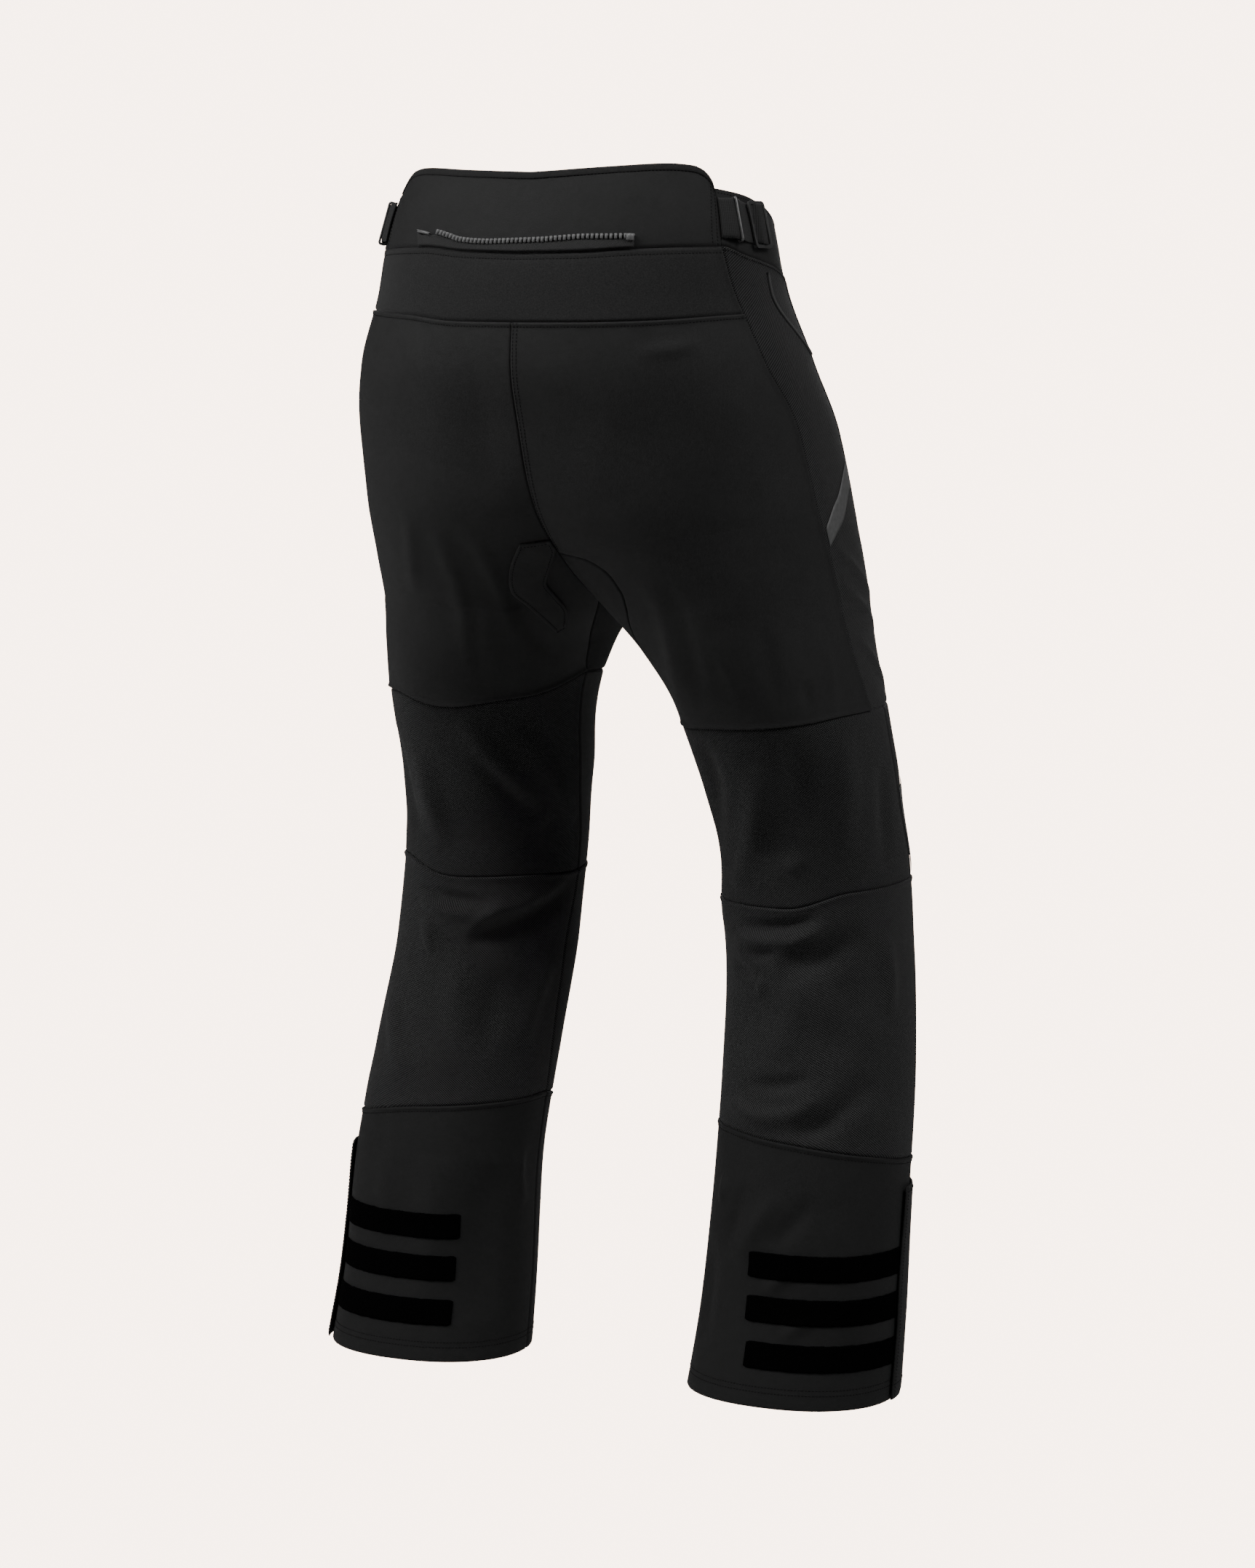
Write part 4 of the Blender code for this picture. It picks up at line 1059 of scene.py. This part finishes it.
def waist_binding():
    """Tape folded over the top of the back waistband."""
    edge = BACK_BAND_EDGE + 0.002
    line = resampled(0, across_back(BACK_BAND_TOP, edge, edge), 4.0)
    # columns: drop below the band's top, lift off its outer face
    outside = (
        (5.0, 0.75), (4.6, 1.0), (2.4, 1.1), (0.2, 1.05), (-0.75, 0.3), (-1.0, -1.2),
        (-0.75, -2.7), (0.2, -3.45), (5, -3.3),
    )
    inside = (
        (5.0, 0.1), (4.6, 0.1), (2.4, 0.1), (0.2, 0.1), (-0.1, -0.2), (-0.1, -1.2),
        (-0.1, -2.2), (0.2, -2.5), (5, -2.5),
    )
    shells = [
        np.stack([on_form(0, line[:, 0], line[:, 1] - drop, out)[0] for drop, out in profile], 1)
        for profile in (outside, inside)
    ]
    verts, quads = slab(*shells)
    run = lengths(shells[0][:, 4])
    uv = np.stack(np.broadcast_arrays(run[:, None], np.arange(9.0)[None]), -1).reshape(-1, 2)
    piece = add_mesh("waist_binding_tape", verts, quads, LOOKS["binding"], np.concatenate([uv, uv]))
    settle(piece, "binding", "waist_binding")
    wide = float(lengths(shells[0], 1)[:, -1].mean())


def pinned(grid, column, corner):
    """The grid with the nearest point of its left or right edge moved onto a corner of the outline."""
    nearest = np.abs(grid[column, :, 1] - corner[1]).argmin()
    grid[column, nearest] = corner
    return grid


def upper_panels(side, word):
    """Seat, side panel, front thigh and inner thigh of one leg."""
    edge = BACK_BAND_EDGE
    band_pocket = meet(BAND_SEAM, POCKET_SEAM, side, -30)
    yoke_foot = meet(YOKE_SEAM, SIDE_SEAM, side, -60)
    side_foot = meet(KNEE_TOP, SIDE_SEAM, side, -400)
    pocket_foot = meet(KNEE_TOP, POCKET_SEAM, side, -400)
    back_seam = thigh_seam(side, BACK_THIGH[side], 1.0)
    front_seam = thigh_seam(side, FRONT_THIGH[side], 0.0)
    back_foot, front_foot = back_seam[-1], front_seam[-1]

    # Seat: its inner edge is the centre seam, then the inner thigh seam
    centre = middle_line(1, float(level(YOKE_SEAM, side, 1.0)), back_seam[0, 1])
    right = np.concatenate([centre[:-1], back_seam])
    left = dropped(SIDE_SEAM, side, yoke_foot[1], side_foot[1])
    top = drawn(YOKE_SEAM, side, yoke_foot[0], 1)
    bottom = drawn(KNEE_TOP, side, side_foot[0], back_foot[0])
    grid = pinned(between(side, top, bottom, left, right), -1, back_seam[0])
    sewn = {"top": "lap stitched", "bottom": "lap", "left": "lap", "right": "butt"}
    seat = Cloth(f"seat_{word}", side, grid, sewn, "shell")
    seat.stitch("top")
    if side < 0:
        run = lengths(cloth_at(side, as_angles(right)))
        reach = float(run[len(centre) - 2] / run[-1])
        seat.stitch("right", 2.2, 0.0, reach).stitch("right", 5.6, 0.0, reach)
    seat.declare("hung", [f"side_{word}", f"inner_thigh_{word}"])

    # Side of knitted mesh: its back edge runs along the yoke and then the seat
    corner = (edge, float(level(BAND_SEAM, side, edge)))
    beside_yoke = np.linspace(corner, yoke_foot, FINE)
    right = np.concatenate([beside_yoke[:-1], left])
    left = dropped(POCKET_SEAM, side, band_pocket[1], pocket_foot[1])
    top = drawn(BAND_SEAM, side, band_pocket[0], edge)
    bottom = drawn(KNEE_TOP, side, pocket_foot[0], side_foot[0])
    grid = pinned(between(side, top, bottom, left, right), -1, yoke_foot)
    sewn = {"top": "lap stitched", "bottom": "tuck", "left": "tuck", "right": "tuck"}
    flank = Cloth(f"side_{word}", side, grid, sewn, "mesh")
    flank.stitch("top", 3.0)
    flank.declare("hung", [f"seat_{word}", f"front_thigh_{word}"])

    # Front thigh, from the front of the waistband to the knee
    centre = middle_line(0, float(level(BAND_SEAM, side, 0.0)), front_seam[0, 1])
    inner = np.concatenate([centre[:-1], front_seam])
    top = drawn(BAND_SEAM, side, 0, band_pocket[0])
    bottom = drawn(KNEE_TOP, side, front_foot[0], pocket_foot[0])
    grid = pinned(between(side, top, bottom, inner, left), 0, front_seam[0])
    sewn = {"top": "tuck", "bottom": "lap", "left": "butt", "right": "lap stitched"}
    thigh = Cloth(f"front_thigh_{word}", side, grid, sewn, "shell")
    thigh.stitch("right").stitch("left", 2.6, 0.0, 0.5)
    thigh.declare("hung", [f"side_{word}", f"inner_thigh_{word}"])

    # Inner thigh, hung from the U of the crotch, in angles that run on past a full turn
    behind = middle_line(1, back_seam[0, 1], CROTCH_Z)[:, 1]
    before = middle_line(0, CROTCH_Z, front_seam[0, 1])[:, 1]
    top = np.concatenate([
        np.stack([2 * np.pi - angle_of(0.0, behind), behind], -1)[:-1],
        np.stack([2 * np.pi + angle_of(0.0, before), before], -1),
    ])
    foot = np.linspace(back_foot[0], 1 + front_foot[0], FINE)
    bottom = np.stack([2 * np.pi * foot, level(KNEE_TOP, side, foot)], -1)
    right = as_angles(front_seam) + (2 * np.pi, 0)
    grid = as_turns(grid_inside(side, top, bottom, as_angles(back_seam), right))
    sewn = {"top": "butt", "bottom": "tuck", "left": "tuck", "right": "tuck"}
    # The inner thigh takes the darker copy of the stretch cloth, which is painted shade between the legs
    inner = Cloth(f"inner_thigh_{word}", side, grid, sewn, "stretch", look="inner")
    inner.declare("hung", [f"seat_{word}", f"front_thigh_{word}"])
    add_threads(f"stitches_thigh_{word}")


def lower_panels(side, word):
    """Knee, calf and cuff of one leg, a back panel and a front panel each."""
    # Each row: the seam above, a height near it, and a back and a front panel with slot, look and top edge
    # The cuffs take the darker copy of the shell cloth, which is painted shade for the weaker light low on
    # the leg
    cuff_ways = ("shell", "cuff", "lap stitched")
    rows = (
        # The back knee takes the darker copy of the knit, which is painted shade behind the knee
        (KNEE_TOP, -400, ("back_knee", "mesh", "knee", "tuck"), ("front_knee", "shell", "shell", "tuck")),
        (CALF_TOP, -560, ("calf", "mesh", "mesh", "lap"), ("shin", "mesh", "mesh", "lap")),
        (CUFF_TOP, -775, ("cuff_back", *cuff_ways), ("cuff_front", *cuff_ways)),
        (((0, HEM_Z, HEM_Z), (1, HEM_Z, HEM_Z)), HEM_Z),
    )
    back_foot = tuple(thigh_seam(side, BACK_THIGH[side], 1.0)[-1])
    for above, below in zip(rows, rows[1:]):
        high, low = above[0], below[0]
        a = meet(high, OUTSEAM, side, above[1])
        b = back_foot if high is KNEE_TOP else meet(high, INSEAM, side, above[1])
        c = meet(low, OUTSEAM, side, below[1])
        d = meet(low, INSEAM, side, below[1])
        outseam = dropped(OUTSEAM, side, a[1], c[1])
        inseam = dropped(INSEAM, side, b[1], d[1])
        inseam[:, 0] += (b[0] - inseam[0, 0]) * np.linspace(1, 0, FINE) ** 3
        is_cuff = high is CUFF_TOP
        ending = "free" if is_cuff else "tuck"
        dents = HEM_DENTS if is_cuff else ()
        for (name, slot, look, sewn_top), other, start, end, first, last in (
            (above[2], above[3], (a[0], b[0]), (c[0], d[0]), outseam, inseam),
            (above[3], above[2], (b[0], 1 + a[0]), (d[0], 1 + c[0]), inseam, outseam + (1, 0)),
        ):
            grid = between(side, drawn(high, side, *start), drawn(low, side, *end), first, last)
            sewn = {"top": sewn_top, "bottom": ending, "left": "tuck", "right": "tuck"}
            panel = Cloth(f"{name}_{word}", side, grid, sewn, slot, dents=dents, look=look)
            if is_cuff:
                panel.stitch("top", 4.4).stitch("bottom", HEM_STITCHES[0]).stitch("bottom", HEM_STITCHES[1])
            panel.declare("hung", [f"{other[0]}_{word}"])
    add_threads(f"stitches_cuff_{word}")


def cuff_pieces(side, word):
    """Flap over the outer side of the cuff, and the three strips that it closes on."""
    top, foot = -813.0, HEM_Z + 0.8
    root = dropped(FLAP_ROOT, side, top, foot)
    edge = dropped(FLAP_EDGE, side, top, foot)
    share = np.linspace(0, 1, 34)
    lines = [root + (edge - root) * s for s in share]
    rows = np.linspace(0, 1, min(len(resampled(side, line, 4.0)) for line in lines))
    grid = as_turns(np.stack([walk(side, as_angles(line), rows) for line in lines]))
    ripple = 1 + 0.3 * wave(grid[..., 1], f"flap_{word}", 14.0)
    rise = 0.4 + FLAP_RISE * share[:, None] ** 2 * ripple
    sewn = {"top": "free", "bottom": "free", "right": "free"}
    lift = rise + FLAP_WALL
    # The flap takes the cuffs' darker copy of the shell cloth: painted shade low on the leg
    flap = Cloth(f"cuff_flap_{word}", side, grid, sewn, "shell", FLAP_WALL, lift=lift, look="cuff")
    flap.stitch("top", 4.0).stitch("right", 4.0).stitch("bottom", HEM_STITCHES[0])
    flap.declare("folded", [f"cuff_front_{word}", f"cuff_back_{word}"])
    for number, (z, left_end, right_end) in enumerate(STRIPS, 1):
        outer_end = float(upright(FLAP_EDGE, side, z)) - 0.012
        turns = np.linspace(outer_end, left_end if side > 0 else right_end, 56)
        line = np.stack([turns, np.full(56, z)], -1)
        name = f"loop_strip_{word}_{number}"
        ragged = 0.3 * wave(turns * 400, name, 1.1)
        ragged[[0, -1]] -= 1.2
        upper, lower = line.copy(), line - (0, STRIP_HEIGHT)
        upper[:, 1] += ragged
        lower[:, 1] -= ragged[::-1]
        strip, flat = overlay(name, side, rows_between(upper, lower, 10), "loop", 0.9, 0.3)
    add_threads(f"stitches_flap_{word}")


def trims(side, word):
    """Reflective stripes and the piped pocket edge of one leg."""
    # On the hip, from the side seam up and forward
    shift = 0.0 if side < 0 else 0.012
    upper = line_through(((0.538, -240), (0.500, -218), (0.450, -194), (0.402, -182))) + (shift, 0)
    lower = line_through(((0.536, -256), (0.496, -238), (0.446, -214), (0.402, -202))) + (shift, 0)
    picked = np.linspace(0, FINE - 1, 24).astype(int)
    grid = rows_between(upper[picked], lower[picked], 6)
    piece, flat = overlay(f"hip_stripe_{word}", side, grid, "reflective", 0.7)

    # In front of the outer knee seam
    first = dropped(OUTSEAM, side, -474, -548)[picked] - (0.008, 0)
    last = dropped(OUTSEAM, side, -466, -530)[picked] - (0.050, 0)
    piece, flat = overlay(f"knee_stripe_{word}", side, rows_between(first, last, 8), "reflective", 0.7)

    # Piped edge of the hand pocket
    line = line_through(((0.512, -27), (0.512, -44), (0.500, -60), (0.470, -76), (0.412, -95)))
    line = resampled(side, line, 3.0)
    points, out = on_form(side, line[:, 0], line[:, 1], 1.0)
    tube(f"pocket_piping_{word}", points, out, 1.5, "binding", "piping")


def hoop_quads(index, closed):
    """Faces of a tube whose points are numbered ring by ring."""
    ahead = np.roll(index, -1, 0) if closed else index[1:]
    index = index if closed else index[:-1]
    return np.stack([index, np.roll(index, -1, 1), np.roll(ahead, -1, 1), ahead], -1).reshape(-1, 4)


def tube(name, path, out, radius, slot, look, closed=False, around=10):
    """Round cord or wire along a path."""
    run = np.roll(path, -1, 0) - np.roll(path, 1, 0) if closed else np.gradient(path, axis=0)
    run /= np.linalg.norm(run, axis=-1, keepdims=True)
    across = np.cross(out, run)
    across /= np.linalg.norm(across, axis=-1, keepdims=True)
    up = np.cross(run, across)
    angle = np.linspace(0, 2 * math.pi, around, endpoint=False)
    circle = across[:, None] * np.cos(angle)[None, :, None] + up[:, None] * np.sin(angle)[None, :, None]
    verts = (path[:, None] + circle * radius).reshape(-1, 3)
    quads = hoop_quads(np.arange(len(path) * around).reshape(-1, around), closed)
    if not closed:
        for start in (0, (len(path) - 1) * around):
            far = start + around - 1
            caps = [[start + k, start + k + 1, far - 1 - k, far - k] for k in range(around // 2 - 1)]
            quads = np.concatenate([quads, caps])
    uv = np.stack(np.broadcast_arrays(lengths(path)[:, None], angle[None] * radius), -1).reshape(-1, 2)
    settle(add_mesh(name + "_cord", verts, quads, LOOKS[look], uv), slot, name)


def local_axes(side, turn, z):
    """Axes along the band towards the front, up and outward at a point of the form."""
    ahead = on_form(side, turn - 2e-3, z)[0] - on_form(side, turn + 2e-3, z)[0]
    normal = on_form(side, turn, z)[1]
    run = ahead / np.linalg.norm(ahead)
    up = np.cross(normal, run)
    up *= np.sign(up[2])
    out = np.cross(run, up)
    return run, up, out * np.sign((out * normal).sum())


def rounded_path(width, height, radius, steps):
    """Rounded rectangle as a loop of points round its middle, each corner in so many steps."""
    found = []
    for corner, (sx, sy) in enumerate(((1, 1), (-1, 1), (-1, -1), (1, -1))):
        for k in range(steps + 1):
            angle = math.pi / 2 * (corner + k / steps)
            x = sx * (width / 2 - radius) + radius * math.cos(angle)
            y = sy * (height / 2 - radius) + radius * math.sin(angle)
            found.append((x, y))
    return np.array(found)


def adjuster(side, word):
    """Webbing from under the back waistband, through a wire ring and a three-bar slide."""
    reach = np.linspace(WEBBING_LIFT[0][0], WEBBING_LIFT[-1][0], 90)
    turn = BACK_BAND_EDGE - reach * TURNS_PER_MM
    z = np.linspace(WEBBING_HALF, -WEBBING_HALF, 13) + 17.0
    grid = np.stack(np.meshgrid(turn, z, indexing="ij"), -1)
    grid[..., 1] -= 7.0 * ((turn[0] - turn) / (turn[0] - turn[-1]))[:, None]
    lift = smooth(WEBBING_LIFT, 1, reach)[:, None] + 0 * grid[..., 0]
    strap, flat = overlay(f"webbing_{word}", side, grid, "webbing", 1.4, lift, edge_drop=0.25)

    # Wire ring round the webbing
    at = BACK_BAND_EDGE - 17.5 * TURNS_PER_MM
    centre, out = on_form(side, at, 15.1)
    up = local_axes(side, at, 17.0)[1]
    path = rounded_path(5.6, 36.3, 1.6, 5) + (4.15, 0)
    wire = centre + path[:, :1] * out + path[:, 1:] * up
    normal = np.cross(out, up) + 0 * wire
    tube(f"wire_ring_{word}", wire, normal, 1.1, "metal", "metal", closed=True, around=14)

    # The three-bar slide keeps its CAD shape, with its edges rounded
    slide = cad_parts[f"three_bar_slide_{word}"]
    slide.modifiers.new("one_skin", "WELD").merge_threshold = 0.02 * MM
    rounding = slide.modifiers.new("rounded_edges", "BEVEL")
    rounding.width, rounding.segments, rounding.angle_limit = 0.45 * MM, 2, math.radians(35)
    # Its lighter plastic is a painted highlight for the slide's bright rim
    slide.data.materials[0] = LOOKS["slide"]


def seat_patch():
    """Raised wear patch on the left seat, with two rows of stitches inside its rim."""
    # columns: angle in degrees, z
    outer = line_through((
        (292, -254), (292, -268), (293.5, -287), (296, -297), (304, -308), (315.4, -322), (328, -336),
    ))
    inner = line_through((
        (302, -250), (306.5, -259), (308.2, -274), (309, -287), (317, -302), (325, -314), (331, -332),
    ))
    outer, inner = outer * (np.pi / 180, 1), inner * (np.pi / 180, 1)
    ends = [np.linspace(outer[k], inner[k], FINE) for k in (0, -1)]
    grid = as_turns(grid_inside(1, outer, inner, *ends, 2.5))
    sewn = {"top": "free", "bottom": "free", "left": "free", "right": "free"}
    dents = [(edge, inset, 0.8, 0.45) for edge in sewn for inset in (3.0, 5.0)]
    patch = Cloth("seat_patch", 1, grid, sewn, "patch", 2.0, 2.9, dents)
    for edge in sewn:
        patch.stitch(edge, 3.0, 0.04, 0.96)
    patch.declare("laid", ["seat_left"])
    add_threads("stitches_patch")


def zip_half():
    """Open half of the zip that joins a jacket: twill tape, moulded teeth, an end box and a stop."""
    line = line_through((
        (0.804, 7.0), (0.822, 4.5), (0.854, 4.6), (0.886, 1.5), (0.912, -2),
        (0.962, -4), (1.024, -3), (1.1, -0.6), (1.176, -0.5),
    ))
    foot_left = level(BAND_SEAM, 1, np.minimum(line[:, 0], 1))
    foot_right = level(BAND_SEAM, -1, np.minimum(2 - line[:, 0], 1))
    foot = np.where(line[:, 0] > 1, foot_right, foot_left) + 1.0
    shares = np.linspace(0, 1, 110)
    high = walk(0, line, shares)
    low = np.stack([high[:, 0], np.interp(high[:, 0], line[:, 0], foot)], -1)
    low[:, 0] += 0.010 * (1 - shares) ** 6
    tape, flat = overlay("zip_tape", 0, rows_between(low, high, 8), "zip_tape", 0.9, 0.9)
    flat = (flat[0], max(flat[1], 0.01))
    points, out = on_form(0, high[:, 0], high[:, 1], 2.2)
    run = lengths(points)
    first_tooth = run[-1] * ZIP_BARE_SHARE
    blocks = []
    for k in range(int((run[-1] - first_tooth) / ZIP_PITCH)):
        at = first_tooth + (k + 0.5) * ZIP_PITCH
        place, normal = points_along(run, at, points), points_along(run, at, out)
        way, up = along_and_up(points_along(run, at + 0.5, points) - place, normal)
        blocks.append(moulded(place, way, up, normal, *TOOTH))
    blocks.append(moulded(points[-1] - 3.0 * way - up * 1.5, way, up, normal, *END_BOX))
    start, rise = along_and_up(points[8] - points[0], out[0])
    blocks.append(moulded(points[0] + start * 10.0, start, rise, out[0], *LEFT_STOP))
    quads = block_quads(5, len(blocks))
    teeth = add_mesh("zip_teeth", np.concatenate(blocks), quads, LOOKS["zip_chain"])
    settle(teeth, "zip_chain", "zip_chain")
    sew(points - out * 1.1 - up * 2.2, out, 0.02, 1.0)
    add_threads("stitches_zip")


def along_and_up(step, out):
    """Way of a step, and the way up beside it on the cloth."""
    way = step / np.linalg.norm(step)
    up = np.cross(way, out)
    return way, up * np.sign(up[2])


def moulded(place, way, up, out, half_width, half_depth, height):
    """One moulded block of the zip, wider at its head, as five square rings."""
    rings = []
    for share, wide, deep in MOULDED_RINGS:
        middle = place + up * height * share
        for sx, sy in ((1, 1), (-1, 1), (-1, -1), (1, -1)):
            rings.append(middle + way * sx * half_width * wide + out * sy * half_depth * deep)
    return np.array(rings)


def front_closure():
    """Fly facing with its stitched curve, and a plain button above it."""
    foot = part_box("fly_facing")[0][2] / MM
    top = float(level(BAND_SEAM, 1, 0.05)) - 1.5
    heights = np.linspace(top, foot, 60)
    reach = 0.108 * np.clip(1 - ((top - heights) / (top - foot)) ** 7, 0.25, 1)
    grid = np.stack([np.stack([reach * s, heights], -1) for s in np.linspace(0.004, 1, 16)])
    facing = Cloth("fly_facing", 1, grid, {"right": "free", "bottom": "free"}, "shell", 1.2, 1.6)
    facing.stitch("right", 3.0).stitch("right", 7.0)
    facing.declare("laid", ["front_thigh_left"])
    add_threads("stitches_fly")
    run, up, out = local_axes(1, *BUTTON_PLACE)
    centre = on_form(1, *BUTTON_PLACE, 0.5)[0]
    angle = np.linspace(0, 2 * math.pi, 48, endpoint=False)
    circle = np.cos(angle)[:, None] * run + np.sin(angle)[:, None] * up
    rings = np.stack([centre + circle * radius + out * height for radius, height in BUTTON])
    quads = hoop_quads(np.arange(len(BUTTON) * 48).reshape(-1, 48), True)
    piece = add_mesh("waist_button_round", rings.reshape(-1, 3), quads, LOOKS["plastic"])
    settle(piece, "plastic", "waist_button")


def softbox(name, right, back, up, size, power, aim):
    """Large soft light placed from the camera's point of view, in metres."""
    light = bpy.data.lights.new(name, "AREA")
    light.shape = "RECTANGLE"
    light.size, light.size_y = size
    light.energy = power
    lamp = bpy.data.objects.new(name, light)
    lamp.location = Vector(RIGHT) * right - Vector(AHEAD) * back + Vector((0, 0, up))
    lamp.rotation_euler = (Vector((0, 0, aim)) - lamp.location).to_track_quat("-Z", "Y").to_euler()
    bpy.context.scene.collection.objects.link(lamp)


def pale_when_seen(owner, seen_kind, other_kind, other, output):
    """Gives a world or material the pale tone for the camera's own rays and another shader for the rest."""
    owner.use_nodes = True
    tree = owner.node_tree
    tree.nodes.clear()
    seen = node(tree, seen_kind, {"Color": PALE, "Strength": 1.0}).outputs[0]
    rest = node(tree, other_kind, other).outputs[0]
    ray = node(tree, "LightPath").outputs["Is Camera Ray"]
    both = node(tree, "MixShader", {0: ray, 1: rest, 2: seen}).outputs[0]
    node(tree, output, {"Surface": both})
    return owner


def studio():
    """Pale room, plain floor and soft lights."""
    room = {"Color": (1, 1, 1, 1), "Strength": ROOM_LIGHT}
    world = bpy.data.worlds.new("pale_room")
    bpy.context.scene.world = pale_when_seen(world, "Background", "Background", room, "OutputWorld")
    half, low = 40.0, HEM_Z * MM - 0.03
    corners = [(-half, -half, low), (half, -half, low), (half, half, low), (-half, half, low)]
    mesh = bpy.data.meshes.new("floor")
    mesh.from_pydata(corners, [], [(0, 1, 2, 3)])
    floor = bpy.data.objects.new("floor", mesh)
    bpy.context.scene.collection.objects.link(floor)
    look = bpy.data.materials.new("floor")
    matt = {"Color": grey(0.5)}
    mesh.materials.append(pale_when_seen(look, "Emission", "BsdfDiffuse", matt, "OutputMaterial"))
    for light in LIGHTS:
        softbox(*light)


def camera():
    """The photograph's view, from behind and to the wearer's right."""
    data = bpy.data.cameras.new("camera")
    data.sensor_width = SENSOR
    data.lens = FOCAL_PIXELS * SENSOR / PHOTO_HEIGHT
    data.clip_start, data.clip_end = 0.1, 200.0
    eye = bpy.data.objects.new("camera", data)
    ahead, right, up = Vector(AHEAD), Vector(RIGHT), Vector((0, 0, 1))
    view = ahead * math.cos(VIEW_TILT) - up * math.sin(VIEW_TILT)
    upward = ahead * math.sin(VIEW_TILT) + up * math.cos(VIEW_TILT)
    place = -ahead * 3.3 + right * 0.039 - up * 0.066
    rows = [*zip(right, upward, -view, place), (0, 0, 0, 1)]
    eye.matrix_world = Matrix(rows)
    bpy.context.scene.collection.objects.link(eye)
    bpy.context.scene.camera = eye


# Stitches sewn since the last call of add_threads
THREAD = []
LOOKS = {
    "shell": woven_look("shell", 0.0165, 0.66, 0.06),
    "band": woven_look("band", 0.0133, 0.66, 0.06),
    # The cuff is the shell cloth in a darker copy: painted shade standing for the light that falls off
    # towards the hem
    "cuff": woven_look("cuff", 0.0109, 0.72, 0.05),
    "stretch": fuzzy_look("stretch", 0.023, 0.9, 0.14, 900.0, 0.16),
    # The inner thigh is the yoke's stretch cloth at half its value: painted shade between the legs
    "inner": fuzzy_look("inner", 0.0115, 0.9, 0.08, 900.0, 0.16),
    "mesh": knit_look("mesh", 0.0178),
    # The back knee is the calf's knit in a darker copy: painted shade on the downward-facing back of the knee
    "knee": knit_look("knee", 0.0145),
    "loop": fuzzy_look("loop", 0.002, 1.0, 0.0, 700.0, 0.6, 0.03),
    "reflective": hard_look("reflective", 0.13, 0.5),
    "binding": ribbed_look("binding", 0.014, 0.8, 0.7),
    "piping": ribbed_look("piping", 0.07, 0.6, 0.7),
    "patch": woven_look("patch", 0.0275, 0.75, 0.05),
    "zip_tape": ribbed_look("zip_tape", 0.026, 0.7, 1.0, 0.8),
    "zip_chain": hard_look("zip_chain", 0.2, 0.4),
    "webbing": ribbed_look("webbing", 0.02, 0.75, 1.4),
    "plastic": hard_look("plastic", 0.03, 0.34, 0.0, 0.3),
    # The slide is the button's plastic made lighter: painted highlight over the whole slide, standing for its
    # bright rim
    "slide": hard_look("slide", 0.055, 0.3, 0.0, 0.5),
    "metal": hard_look("metal", 0.16, 0.32, 0.5),
    "thread": fuzzy_look("thread", 0.005, 0.8, 0.0, 1400.0, 0.05),
}

camera()
studio()
waist_panels()
for leg, leg_name in ((1, "left"), (-1, "right")):
    upper_panels(leg, leg_name)
    lower_panels(leg, leg_name)
    cuff_pieces(leg, leg_name)
    trims(leg, leg_name)
    adjuster(leg, leg_name)
seat_patch()
zip_half()
front_closure()
